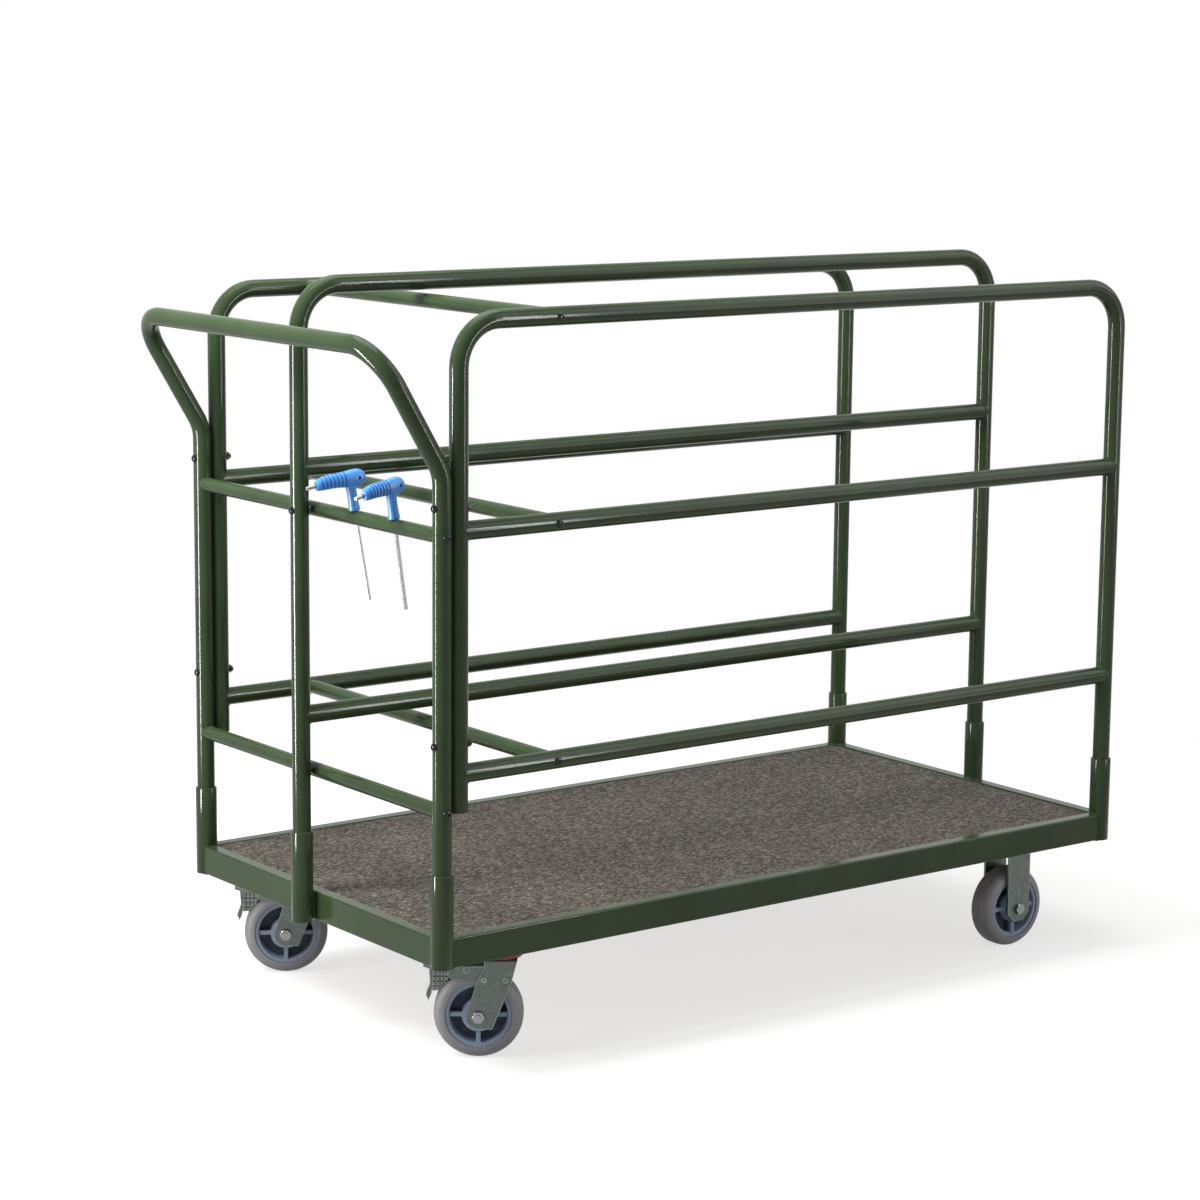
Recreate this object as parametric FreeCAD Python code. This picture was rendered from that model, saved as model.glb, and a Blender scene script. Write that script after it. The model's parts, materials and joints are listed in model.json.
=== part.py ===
import FreeCAD, Part
import math
import os

from FreeCAD import Placement, Rotation, Vector

# Layout, in millimetres: X along the cart with the push handle at -X, Y across it, Z up from the floor,
# with the origin on the floor under the middle of the deck
POST_SPACING_X = 1524.0
POST_SPACING_Y = 762.0

# Heights above the underside of the deck frame, to tube centre lines
SIDE_RAIL_HEIGHTS = (1059.0, 721.0, 321.5)
DIVIDER_RAIL_HEIGHTS = (1093.5, 787.5, 361.5)
END_RAIL_HEIGHTS = (715.0, 262.0)
HOOP_FOOT_HEIGHT = 259.0
HOOP_BOLT_HEIGHTS = (761.0, 372.0)

# Push handle
HANDLE_KINK_HEIGHT = 817.0
HANDLE_BAR_HEIGHT = 1024.0
HANDLE_REACH = 125.0

# Round tubes
POST_DIA = 31.75
POST_WALL = 1.65
END_RAIL_DIA = 25.4
END_RAIL_WALL = 1.65
BEND_RADIUS = 76.0
PLUG_LENGTH = 22.0

# Sockets that hold the posts
SOCKET_WALL = 3.05
SOCKET_LENGTH = 158.75
SOCKET_FLOOR = 3.0
SOCKET_CHAMFER = 1.0

# Deck frame, board and carpet
DECK_RAIL_HEIGHT = 50.8
DECK_RAIL_WIDTH = 25.4
DECK_RAIL_WALL = 2.5
DECK_RAIL_CORNER = 3.0
CROSS_MEMBER_SIZE = 25.4
CROSS_MEMBER_WALL = 2.0
MID_MEMBER_OFFSETS = (-200.0, 200.0)
BOARD_THICKNESS = 19.0
CARPET_THICKNESS = 5.0
BOARD_CORNER_CUT = 10.0
BOARD_GAP = 1.0

# Cross bars between the side hoops
CROSS_BAR_INSET = 222.0

# Fits
WELD_FIT = 0.1
POST_FIT = 0.125
BOLT_FIT = 0.3
THREAD_FIT = 0.05
RUNNING_FIT = 0.05
SEAT_GAP = 0.3

# Dome-head frame bolts and their nuts
BOLT_DIA = 8.0
BOLT_HEAD_DIA = 14.5
BOLT_HEAD_HEIGHT = 4.8
BOLT_GRIP = 16.0
BOLT_SOCKET_FLATS = 5.0
BOLT_SOCKET_DEPTH = 2.6
CAP_NUT_FLATS = 13.0
CAP_NUT_HEX = 5.5
CAP_NUT_HEIGHT = 11.0
CAP_NUT_DEPTH = 7.0
CAP_NUT_GRIP = 6.0
SPACER_DIA = 14.0

# Caster plates and their bolts
PLATE_X = 101.6
PLATE_Y = 114.3
PLATE_THICKNESS = 6.0
PLATE_CORNER = 8.0
PLATE_BOLT_SPACING = 76.2
PLATE_BOLT_DIA = 9.5
PLATE_BOLT_FLATS = 15.0
PLATE_BOLT_HEAD = 6.0
PLATE_NUT_HEIGHT = 8.0

# Wheels
WHEEL_DIA = 152.4
TYRE_WIDTH = 50.8
TYRE_SHOULDER = 18.0
TYRE_INNER_DIA = 114.0
RIM_DIA = 98.0
RIM_INSET = 1.9
HUB_DIA = 56.0
HUB_STAND = 3.1
WEB_THICKNESS = 6.0
RIB_COUNT = 4
RIB_THICKNESS = 8.0
RIB_WIDTH = 40.0
CORE_CHAMFER = 1.5
SLEEVE_DIA = 16.0
AXLE_DIA = 10.0
AXLE_HEX_FLATS = 19.0
AXLE_HEX_HEIGHT = 6.5

# Caster forks
CASTER_RISE = 44.45
HUB_PLAY = 1.0
FORK_PLATE = 5.0
FORK_END_RADIUS = 22.0
FORK_HEEL = 23.5
FORK_HEEL_ROUND = 3.0
TRAIL = 38.0
SWIVEL_INSET_X = 169.0
RIGID_INSET_X = 172.0
CASTER_INSET_Y = 70.0
FRONT_SWIVEL_REST = 143.0
BACK_SWIVEL_REST = 147.0
CROWN_HALF = 28.0
CROWN_THICKNESS = 6.0
CROWN_DROP = 20.85
CROWN_BEND = 5.0
DUST_RING_DIA = 72.0
DUST_RING_BORE = 49.0
DUST_RING_HEIGHT = 4.5
BOSS_DIA = 48.0
KINGPIN_DIA = 16.0
KINGPIN_NUT_FLATS = 24.0
KINGPIN_NUT_HEIGHT = 8.0
RIGID_LEG_WIDTH = 55.0
RIGID_LEG_DROP = 24.0
RIGID_LEG_CUT = 15.0

# Foot brake, measured from the top of the tread over the axle: first along the trail, then up
BRAKE_PIN_AT = (19.5, 4.8)
BRAKE_PIN_DIA = 8.0
BRAKE_RIVET_DIA = 12.0
BRAKE_RIVET_HEAD = 3.0
CHEEK_RIVETS_AT = ((-9.5, -11.7), (-46.0, -12.5))
CHEEK_RIVET_DIA = 6.0
CHEEK_RIVET_HEAD_DIA = 9.0
CHEEK_RIVET_HEAD = 2.0
BRAKE_SHEET = 2.5
BRAKE_WEB = (-14.0, 12.0)
BRAKE_CHEEK = ((-54.0, 10.8), (31.0, 10.8), (51.0, 3.8), (51.0, -10.2), (0.0, -22.2), (-54.0, -18.2))
PEDAL_PLAY = 1.5
PEDAL_BOSS_DIA = 13.0
PEDAL_OUTLINE = ((19.5, 11.3), (80.0, 8.8), (93.0, 12.3), (93.6, 8.3), (82.0, 4.3), (19.5, 4.8))
TONGUE_OUTLINE = ((78.0, 5.8), (84.5, 5.8), (82.4, -25.2), (89.7, -44.7),
                  (85.3, -55.7), (80.2, -44.7), (78.0, -28.2))
TONGUE_HALF_WIDTH = 8.0
SHOE_CORNERS = ((52.0, -37.2), (78.5, 5.8))
SHOE_HALF_WIDTH = 14.0
SHOE_GROOVE = 3.0
SHOE_GROOVES = 3

# Hex keys hung in the mid end rail; each is turned about its blade's hole
KEY_POSITIONS_Y = {"inner": -126.0, "outer": -245.0}
KEY_TURNS = {"inner": -6.0, "outer": 12.0}
KEY_HOLE_DIA = 12.0
KEY_TILT = 10.0
KEY_FLATS = 6.0
KEY_BLADE_LENGTH = 156.0
KEY_SHORT_LENGTH = 18.0
KEY_EMBED = 30.0
STUB_FOOT_DIA = 20.0
STUB_WAIST_DIA = 16.5
STUB_WAIST_HEIGHT = 22.0
STUB_NECK_DIA = 19.5
STUB_HEIGHT = 46.0
# Grip sections: reach from the blade axis, centre height above the stub's foot, half height, half width
GRIP_SECTIONS = ((-27.0, 52.0, 8.0, 7.0), (-18.0, 52.5, 14.0, 10.5), (2.0, 53.5, 14.5, 11.5),
                 (25.0, 56.0, 12.5, 11.0), (48.0, 57.0, 11.5, 10.5), (62.0, 55.5, 8.0, 7.5))
GRIP_GROOVES = 7
GRIP_GROOVE_START = 11.0
GRIP_GROOVE_PITCH = 7.0
GRIP_GROOVE_WIDTH = 2.8
GRIP_GROOVE_DEPTH = 1.6
HANG_HOLE_DIA = 6.0
HANG_HOLE_AT = (-14.0, 53.0)

# Sizes worked out from the values above
WHEEL_RADIUS = WHEEL_DIA / 2
MOUNT_HEIGHT = WHEEL_DIA + CASTER_RISE
RIM_WIDTH = TYRE_WIDTH - 2 * RIM_INSET
HUB_WIDTH = TYRE_WIDTH + 2 * HUB_STAND
FORK_GAP = HUB_WIDTH + 2 * HUB_PLAY
PEDAL_HALF_WIDTH = FORK_GAP / 2 - BRAKE_SHEET - PEDAL_PLAY
SOCKET_BORE = POST_DIA + 2 * POST_FIT
SOCKET_DIA = SOCKET_BORE + 2 * SOCKET_WALL
DIVIDER_OUTSET = DECK_RAIL_WIDTH / 2 + SOCKET_DIA / 2
X_HANDLE = -POST_SPACING_X / 2
X_FAR = POST_SPACING_X / 2
X_NEAR_POST = X_HANDLE + POST_DIA + SEAT_GAP
X_CROSS_BAR = X_HANDLE + CROSS_BAR_INSET
Y_SIDE = POST_SPACING_Y / 2
POST_FOOT = MOUNT_HEIGHT + SOCKET_FLOOR
MEMBER_TOP = MOUNT_HEIGHT + CROSS_MEMBER_SIZE
BOARD_TOP = MEMBER_TOP + BOARD_THICKNESS
PLATE_BOTTOM = MOUNT_HEIGHT - PLATE_THICKNESS
CROWN_TOP = MOUNT_HEIGHT - CROWN_DROP
FORK_WIDTH = FORK_GAP + 2 * FORK_PLATE
SWIVEL_X = X_HANDLE + SWIVEL_INSET_X
RIGID_X = X_FAR - RIGID_INSET_X
CASTER_Y = Y_SIDE - CASTER_INSET_Y
SIDES = {"front": -1, "back": 1}

UP = Vector(0, 0, 1)
ALONG_X = Vector(1, 0, 0)
ALONG_Y = Vector(0, 1, 0)


def box(low, high):
    """Block between two opposite corners."""
    return Part.makeBox(high[0] - low[0], high[1] - low[1], high[2] - low[2], Vector(*low))


def rod(dia, start, end):
    """Round bar between two points."""
    axis = end - start
    return Part.makeCylinder(dia / 2, axis.Length, start, axis)


def ring(outer_dia, inner_dia, low, high):
    """Flat ring about the Z axis."""
    return rod(outer_dia, UP * low, UP * high).cut(rod(inner_dia, UP * low, UP * high))


def hex_prism(flats, height):
    """Hexagonal prism standing on the origin."""
    radius = flats / math.sqrt(3)
    turns = [k * math.pi / 3 for k in range(7)]
    corners = [Vector(radius * math.cos(turn), radius * math.sin(turn), 0) for turn in turns]
    return Part.Face(Part.makePolygon(corners)).extrude(UP * height)


def hex_head(flats, height):
    """Hexagonal head standing on the origin, its upper corners turned off at 30 degrees."""
    slope = math.sqrt(3)
    turned = Part.makeCone(flats / 2 + height * slope, flats / 2, height)
    return hex_prism(flats, height).common(turned)


def aim(shape, base, direction):
    """Copy of a shape modelled along +Z, moved to a base point and turned to a direction."""
    return placed(shape, Placement(base, Rotation(UP, direction)))


def bent_path(points, radius):
    """Wire through the points, with each inner corner rounded by a tangent arc."""
    edges = []
    start = points[0]
    for before, corner, after in zip(points, points[1:], points[2:]):
        into = (corner - before).normalize()
        out = (after - corner).normalize()
        half_turn = into.getAngle(out) / 2
        run = radius * math.tan(half_turn)
        first = corner - into * run
        last = corner + out * run
        inward = (out - into).normalize()
        middle = corner + inward * (radius / math.cos(half_turn) - radius)
        edges.append(Part.LineSegment(start, first).toShape())
        edges.append(Part.Arc(first, middle, last).toShape())
        start = last
    edges.append(Part.LineSegment(start, points[-1]).toShape())
    return Part.Wire(edges)


def sweep_round(points, dia, radius):
    """Round bar bent along the points."""
    path = bent_path(points, radius)
    profile = Part.Wire(Part.makeCircle(dia / 2, points[0], points[1] - points[0]))
    return path.makePipeShell([profile], True, False)


def bent_tube(points, dia, wall, radius):
    """Open-ended tube bent along the points."""
    first_run = (points[0] - points[1]).normalize()
    last_run = (points[-1] - points[-2]).normalize()
    bore_points = [points[0] + first_run] + points[1:-1] + [points[-1] + last_run]
    return sweep_round(points, dia, radius).cut(sweep_round(bore_points, dia - 2 * wall, radius))


def coped_tube(start, end, dia, wall, post_axis):
    """Straight tube between two post axes, with its ends saddled to the posts."""
    tube = rod(dia, start, end).cut(rod(dia - 2 * wall, start, end))
    return cope(tube, (start, end), post_axis, POST_DIA)


def cope(shape, centres, post_axis, post_dia):
    """Cuts a saddle for a round post at each centre."""
    reach = post_axis * (POST_DIA * 2)
    for centre in centres:
        shape = shape.cut(rod(post_dia + 2 * WELD_FIT, centre - reach, centre + reach))
    return shape


def plugged_rail(start, end, post_axis):
    """Thin rail between two posts, with threaded plugs in its saddled ends."""
    along = (end - start).normalize()
    plug = along * (POST_DIA / 2 + PLUG_LENGTH)
    rail = rod(END_RAIL_DIA, start, end)
    rail = rail.cut(rod(END_RAIL_DIA - 2 * END_RAIL_WALL, start + plug, end - plug))
    rail = rail.cut(rod(BOLT_DIA + 2 * THREAD_FIT, start, start + plug))
    rail = rail.cut(rod(BOLT_DIA + 2 * THREAD_FIT, end - plug, end))
    return cope(rail, (start, end), post_axis, POST_DIA)


def drill(shape, base, direction, dia, depth):
    """Cuts a round hole both ways through a tube at a point on its axis."""
    return shape.cut(rod(dia, base - direction * depth, base + direction * depth))


def dome_bolt(length):
    """Dome-head bolt with a hex socket: head under the origin, shank along +Z."""
    head_radius = BOLT_HEAD_DIA / 2
    ball_radius = (head_radius ** 2 + BOLT_HEAD_HEIGHT ** 2) / (2 * BOLT_HEAD_HEIGHT)
    ball = Part.makeSphere(ball_radius, UP * (ball_radius - BOLT_HEAD_HEIGHT))
    head = ball.common(box((-head_radius, -head_radius, -BOLT_HEAD_HEIGHT), (head_radius, head_radius, 0)))
    bolt = head.fuse(rod(BOLT_DIA, Vector(), UP * length)).removeSplitter()
    key_socket = hex_prism(BOLT_SOCKET_FLATS, BOLT_SOCKET_DEPTH)
    key_socket.translate(UP * -BOLT_HEAD_HEIGHT)
    return bolt.cut(key_socket)


def cap_nut():
    """Domed cap nut standing on the origin, open downwards."""
    dome_radius = CAP_NUT_FLATS / 2 - 0.5
    dome_centre = UP * (CAP_NUT_HEIGHT - dome_radius)
    collar = rod(2 * dome_radius, UP * (CAP_NUT_HEX / 2), dome_centre)
    dome = Part.makeSphere(dome_radius, dome_centre, UP, 0, 90, 360)
    nut = hex_prism(CAP_NUT_FLATS, CAP_NUT_HEX).fuse([collar, dome])
    thread = rod(BOLT_DIA + 2 * THREAD_FIT, Vector(), UP * CAP_NUT_DEPTH)
    return nut.cut(thread).removeSplitter()


def export(name, *shapes):
    """Writes one named node made of one or more separate solids."""
    shape = shapes[0] if len(shapes) == 1 else Part.makeCompound(list(shapes))
    shape.exportStep(os.path.join("parts", name + ".step"))


def level(height):
    """Height above the floor of a height above the deck frame's underside."""
    return MOUNT_HEIGHT + height


def socket(x, y):
    """Post socket: a short tube closed at its foot, with a chamfered rim."""
    base = Vector(x, y, MOUNT_HEIGHT)
    body = rod(SOCKET_DIA, base, base + UP * SOCKET_LENGTH)
    rim = [e for e in body.Edges if e.Closed and e.BoundBox.ZMin > MOUNT_HEIGHT + SOCKET_LENGTH - 1]
    body = body.makeChamfer(SOCKET_CHAMFER, rim)
    return body.cut(rod(SOCKET_BORE, Vector(x, y, POST_FOOT), base + UP * (SOCKET_LENGTH + 1)))


def rectangular_tube(low, high, axis, wall, corner):
    """Rectangular tube with rounded long edges, running along one axis (0 for X, 1 for Y)."""
    body = box(low, high)
    long_edges = [e for e in body.Edges if abs(e.tangentAt(0)[axis]) > 0.99]
    body = body.makeFillet(corner, long_edges)
    inner_low = [value + (0 if i == axis else wall) for i, value in enumerate(low)]
    inner_high = [value - (0 if i == axis else wall) for i, value in enumerate(high)]
    return body.cut(box(inner_low, inner_high))


def build_deck():
    """Frame rails, cross members, board, carpet and sockets."""
    half = DECK_RAIL_WIDTH / 2
    top = MOUNT_HEIGHT + DECK_RAIL_HEIGHT
    corners = [Vector(x, y, 0) for x in (X_HANDLE, X_FAR) for y in (-Y_SIDE, Y_SIDE)]
    clear = [rod(SOCKET_DIA + 2 * WELD_FIT, c, c + UP * (top + 1)) for c in corners]

    def rail(low, high, axis):
        body = rectangular_tube(low, high, axis, DECK_RAIL_WALL, DECK_RAIL_CORNER)
        for cutter in clear:
            body = body.cut(cutter)
        return max(body.Solids, key=lambda solid: solid.Volume)

    for name, side in SIDES.items():
        y = side * Y_SIDE
        export(name + "_deck_rail", rail((X_HANDLE, y - half, MOUNT_HEIGHT), (X_FAR, y + half, top), 0))
    for name, x in (("handle_end", X_HANDLE), ("far_end", X_FAR)):
        export(name + "_deck_rail", rail((x - half, -Y_SIDE, MOUNT_HEIGHT), (x + half, Y_SIDE, top), 1))

    inner_y = Y_SIDE - half
    stations = [x + side * PLATE_BOLT_SPACING / 2 for x in (SWIVEL_X, RIGID_X) for side in (-1, 1)]
    members = []
    for x in stations + list(MID_MEMBER_OFFSETS):
        low = (x - CROSS_MEMBER_SIZE / 2, -inner_y, MOUNT_HEIGHT)
        high = (x + CROSS_MEMBER_SIZE / 2, inner_y, MEMBER_TOP)
        member = rectangular_tube(low, high, 1, CROSS_MEMBER_WALL, CROSS_MEMBER_WALL)
        for y in plate_bolt_rows() if x in stations else ():
            floor = Vector(x, y, MOUNT_HEIGHT)
            member = member.cut(rod(PLATE_BOLT_DIA + 2 * BOLT_FIT, floor, floor + UP * CROSS_MEMBER_WALL))
        members.append(member)
    export("deck_cross_members", *members)

    lows = (X_HANDLE + half + BOARD_GAP, -inner_y + BOARD_GAP)
    highs = (X_FAR - half - BOARD_GAP, inner_y - BOARD_GAP)
    board = box((*lows, MEMBER_TOP), (*highs, BOARD_TOP))
    board = board.makeChamfer(BOARD_CORNER_CUT, upright_edges(board))
    export("deck_board", board)
    carpet = box((*lows, BOARD_TOP), (*highs, BOARD_TOP + CARPET_THICKNESS))
    export("deck_carpet", carpet.makeChamfer(BOARD_CORNER_CUT, upright_edges(carpet)))

    export("corner_sockets", *[socket(c.x, c.y) for c in corners])
    export("divider_sockets", socket(X_HANDLE - DIVIDER_OUTSET, 0), socket(X_FAR + DIVIDER_OUTSET, 0))


def upright_edges(shape):
    """Vertical edges of a block."""
    return [e for e in shape.Edges if abs(e.tangentAt(0).z) > 0.99]


def plate_bolt_rows():
    """Y of every row of caster plate bolts."""
    return [side * CASTER_Y + row * PLATE_BOLT_SPACING / 2 for side in (-1, 1) for row in (-1, 1)]


def build_handle():
    """Bent push handle with its two bolted end rails."""
    bar_x = X_HANDLE - HANDLE_REACH
    arm = [(X_HANDLE, POST_FOOT), (X_HANDLE, level(HANDLE_KINK_HEIGHT)), (bar_x, level(HANDLE_BAR_HEIGHT))]
    points = [Vector(x, -Y_SIDE, z) for x, z in arm] + [Vector(x, Y_SIDE, z) for x, z in reversed(arm)]
    handle = bent_tube(points, POST_DIA, POST_WALL, BEND_RADIUS)
    hole = BOLT_DIA + 2 * BOLT_FIT
    for side in SIDES.values():
        for height in HOOP_BOLT_HEIGHTS:
            handle = drill(handle, Vector(X_HANDLE, side * Y_SIDE, level(height)), ALONG_X, hole, POST_DIA)
        for height in END_RAIL_HEIGHTS:
            handle = drill(handle, Vector(X_HANDLE, side * Y_SIDE, level(height)), ALONG_Y, hole, POST_DIA)
    export("handle_frame", handle)

    rails = []
    for height in END_RAIL_HEIGHTS:
        z = level(height)
        rails.append(plugged_rail(Vector(X_HANDLE, -Y_SIDE, z), Vector(X_HANDLE, Y_SIDE, z), UP))
    mid_rail, lower_rail = rails
    mid_z = level(END_RAIL_HEIGHTS[0])
    for y in KEY_POSITIONS_Y.values():
        mid_rail = drill(mid_rail, Vector(X_HANDLE, y, mid_z), UP, KEY_HOLE_DIA, END_RAIL_DIA)
    mid_rail = drill(mid_rail, Vector(X_HANDLE, 0, mid_z), ALONG_X, hole, END_RAIL_DIA)
    export("handle_mid_rail", mid_rail)
    export("handle_lower_rail", lower_rail)

    bolts = []
    for side in SIDES.values():
        for height in END_RAIL_HEIGHTS:
            base = Vector(X_HANDLE, side * (Y_SIDE + POST_DIA / 2), level(height))
            bolts.append(aim(dome_bolt(POST_DIA + BOLT_GRIP), base, ALONG_Y * -side))
    export("end_rail_bolts", *bolts)


def build_side_hoops():
    """Long side hoops, their welded rails, and the bolts that tie them to the handle."""
    top, mid, lower = (level(height) for height in SIDE_RAIL_HEIGHTS)
    hole = BOLT_DIA + 2 * BOLT_FIT
    bolts = []
    nuts = []
    for name, side in SIDES.items():
        y = side * Y_SIDE
        points = [Vector(X_NEAR_POST, y, level(HOOP_FOOT_HEIGHT)), Vector(X_NEAR_POST, y, top),
                  Vector(X_FAR, y, top), Vector(X_FAR, y, POST_FOOT)]
        hoop = bent_tube(points, POST_DIA, POST_WALL, BEND_RADIUS)
        for height in HOOP_BOLT_HEIGHTS:
            hoop = drill(hoop, Vector(X_NEAR_POST, y, level(height)), ALONG_X, hole, POST_DIA)
            head = Vector(X_HANDLE - POST_DIA / 2, y, level(height))
            nut_face = Vector(X_NEAR_POST + POST_DIA / 2, y, level(height))
            bolts.append(aim(dome_bolt(nut_face.x - head.x + CAP_NUT_GRIP), head, ALONG_X))
            nuts.append(aim(cap_nut(), nut_face, ALONG_X))
        export(name + "_hoop", drill(hoop, Vector(X_CROSS_BAR, y, top), ALONG_Y, hole, POST_DIA))
        rails = []
        for z in (mid, lower):
            rail = coped_tube(Vector(X_NEAR_POST, y, z), Vector(X_FAR, y, z), POST_DIA, POST_WALL, UP)
            rails.append(drill(rail, Vector(X_CROSS_BAR, y, z), ALONG_Y, hole, POST_DIA))
        export(name + "_hoop_rails", *rails)
    export("hoop_bolts", *bolts)
    export("hoop_cap_nuts", *nuts)


def build_divider():
    """Centre divider hoop with its rails, and the bolt to the mid end rail."""
    top, mid, lower = (level(height) for height in DIVIDER_RAIL_HEIGHTS)
    near = X_HANDLE - DIVIDER_OUTSET
    far = X_FAR + DIVIDER_OUTSET
    bolt_z = level(END_RAIL_HEIGHTS[0])
    outline = [(near, POST_FOOT), (near, top), (far, top), (far, POST_FOOT)]
    points = [Vector(x, 0, z) for x, z in outline]
    hoop = bent_tube(points, POST_DIA, POST_WALL, BEND_RADIUS)
    hole = BOLT_DIA + 2 * BOLT_FIT
    export("divider_hoop", drill(hoop, Vector(near, 0, bolt_z), ALONG_X, hole, POST_DIA))
    rails = [coped_tube(Vector(near, 0, z), Vector(far, 0, z), POST_DIA, POST_WALL, UP) for z in (mid, lower)]
    export("divider_rails", *rails)

    head = Vector(near - POST_DIA / 2, 0, bolt_z)
    post_face = Vector(near + POST_DIA / 2, 0, bolt_z)
    rail_face = Vector(X_HANDLE - END_RAIL_DIA / 2, 0, bolt_z)
    nut_face = Vector(X_HANDLE + END_RAIL_DIA / 2, 0, bolt_z)
    bolt = aim(dome_bolt(nut_face.x - head.x + CAP_NUT_GRIP), head, ALONG_X)
    export("divider_bolt", bolt, aim(cap_nut(), nut_face, ALONG_X))
    export("divider_spacer", rod(SPACER_DIA, post_face, rail_face).cut(rod(hole, post_face, rail_face)))


def build_cross_bars():
    """Three bars across the cart between the side hoops, with their bolts."""
    bars = []
    bolts = []
    for height in SIDE_RAIL_HEIGHTS:
        z = level(height)
        bars.append(plugged_rail(Vector(X_CROSS_BAR, -Y_SIDE, z), Vector(X_CROSS_BAR, Y_SIDE, z), ALONG_X))
        for side in SIDES.values():
            base = Vector(X_CROSS_BAR, side * (Y_SIDE + POST_DIA / 2), z)
            bolts.append(aim(dome_bolt(POST_DIA + BOLT_GRIP), base, ALONG_Y * -side))
    export("cross_bars", *bars)
    export("cross_bar_bolts", *bolts)


def flat_outline(points, half_width):
    """Plate with an outline in the XZ plane, centred across Y."""
    corners = [Vector(x, -half_width, z) for x, z in points]
    return Part.Face(Part.makePolygon(corners + corners[:1])).extrude(ALONG_Y * (2 * half_width))


def caster_plate():
    """Bolt-on top plate about the Z axis, with its four bolt holes."""
    plate = box((-PLATE_X / 2, -PLATE_Y / 2, PLATE_BOTTOM), (PLATE_X / 2, PLATE_Y / 2, MOUNT_HEIGHT))
    plate = plate.makeFillet(PLATE_CORNER, upright_edges(plate))
    for x, y in plate_bolt_points():
        plate = plate.cut(rod(PLATE_BOLT_DIA + 2 * BOLT_FIT, Vector(x, y, 0), Vector(x, y, MOUNT_HEIGHT)))
    return plate


def plate_bolt_points():
    """Bolt centres of one caster plate."""
    half = PLATE_BOLT_SPACING / 2
    return [(x, y) for x in (-half, half) for y in (-half, half)]


def axle_set(x):
    """Hex axle bolt and nut across the fork at a distance along X."""
    outer = FORK_WIDTH / 2
    head = aim(hex_head(AXLE_HEX_FLATS, AXLE_HEX_HEIGHT), Vector(x, -outer, WHEEL_RADIUS), ALONG_Y * -1)
    tail = Vector(x, outer + AXLE_HEX_HEIGHT + 2, WHEEL_RADIUS)
    bolt = head.fuse(rod(AXLE_DIA, Vector(x, -outer, WHEEL_RADIUS), tail)).removeSplitter()
    thread = rod(AXLE_DIA + 2 * THREAD_FIT, Vector(), UP * AXLE_HEX_HEIGHT)
    nut = hex_head(AXLE_HEX_FLATS, AXLE_HEX_HEIGHT).cut(thread)
    return bolt, aim(nut, Vector(x, outer, WHEEL_RADIUS), ALONG_Y)


def axle_sleeve(x):
    """Sleeve clamped between the fork legs, on which the hub turns."""
    start = Vector(x, -FORK_GAP / 2, WHEEL_RADIUS)
    end = Vector(x, FORK_GAP / 2, WHEEL_RADIUS)
    return rod(SLEEVE_DIA, start, end).cut(rod(AXLE_DIA + 2 * THREAD_FIT, start, end))


def tyre(x):
    """Rubber tread with rounded shoulders."""
    half = TYRE_WIDTH / 2
    crown = half - TYRE_SHOULDER
    side_radius = WHEEL_RADIUS - TYRE_SHOULDER
    bend = TYRE_SHOULDER * math.sqrt(0.5)
    inner = TYRE_INNER_DIA / 2
    outline = [Part.LineSegment(Vector(inner, -half, 0), Vector(side_radius, -half, 0)),
               Part.Arc(Vector(side_radius, -half, 0), Vector(side_radius + bend, -crown - bend, 0),
                        Vector(WHEEL_RADIUS, -crown, 0)),
               Part.LineSegment(Vector(WHEEL_RADIUS, -crown, 0), Vector(WHEEL_RADIUS, crown, 0)),
               Part.Arc(Vector(WHEEL_RADIUS, crown, 0), Vector(side_radius + bend, crown + bend, 0),
                        Vector(side_radius, half, 0)),
               Part.LineSegment(Vector(side_radius, half, 0), Vector(inner, half, 0)),
               Part.LineSegment(Vector(inner, half, 0), Vector(inner, -half, 0))]
    section = Part.Face(Part.Wire([curve.toShape() for curve in outline]))
    solid = section.revolve(Vector(), ALONG_Y, 360)
    solid.translate(Vector(x, 0, WHEEL_RADIUS))
    return solid


def wheel_core(x):
    """Moulded wheel core: hub, web, ribs and rim, bored for the sleeve."""
    def drum(dia, width):
        return rod(dia, ALONG_Y * (-width / 2), ALONG_Y * (width / 2))

    outer_dia = TYRE_INNER_DIA - 2 * WELD_FIT
    core = drum(outer_dia, RIM_WIDTH).cut(drum(RIM_DIA, RIM_WIDTH))
    core = core.fuse([drum(RIM_DIA, WEB_THICKNESS), drum(HUB_DIA, HUB_WIDTH)])
    for k in range(RIB_COUNT):
        low = (0, -RIB_WIDTH / 2, -RIB_THICKNESS / 2)
        rib = box(low, (RIM_DIA / 2 + 1, RIB_WIDTH / 2, RIB_THICKNESS / 2))
        rib.rotate(Vector(), ALONG_Y, k * 360 / RIB_COUNT)
        core = core.fuse(rib)
    core = core.cut(drum(SLEEVE_DIA + 2 * RUNNING_FIT, HUB_WIDTH)).removeSplitter()
    rims = [e for e in core.Edges if e.Closed and round(2 * e.Curve.Radius, 3) in (RIM_DIA, HUB_DIA)]
    core = core.makeChamfer(CORE_CHAMFER, rims)
    core.translate(Vector(x, 0, WHEEL_RADIUS))
    return core


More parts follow.
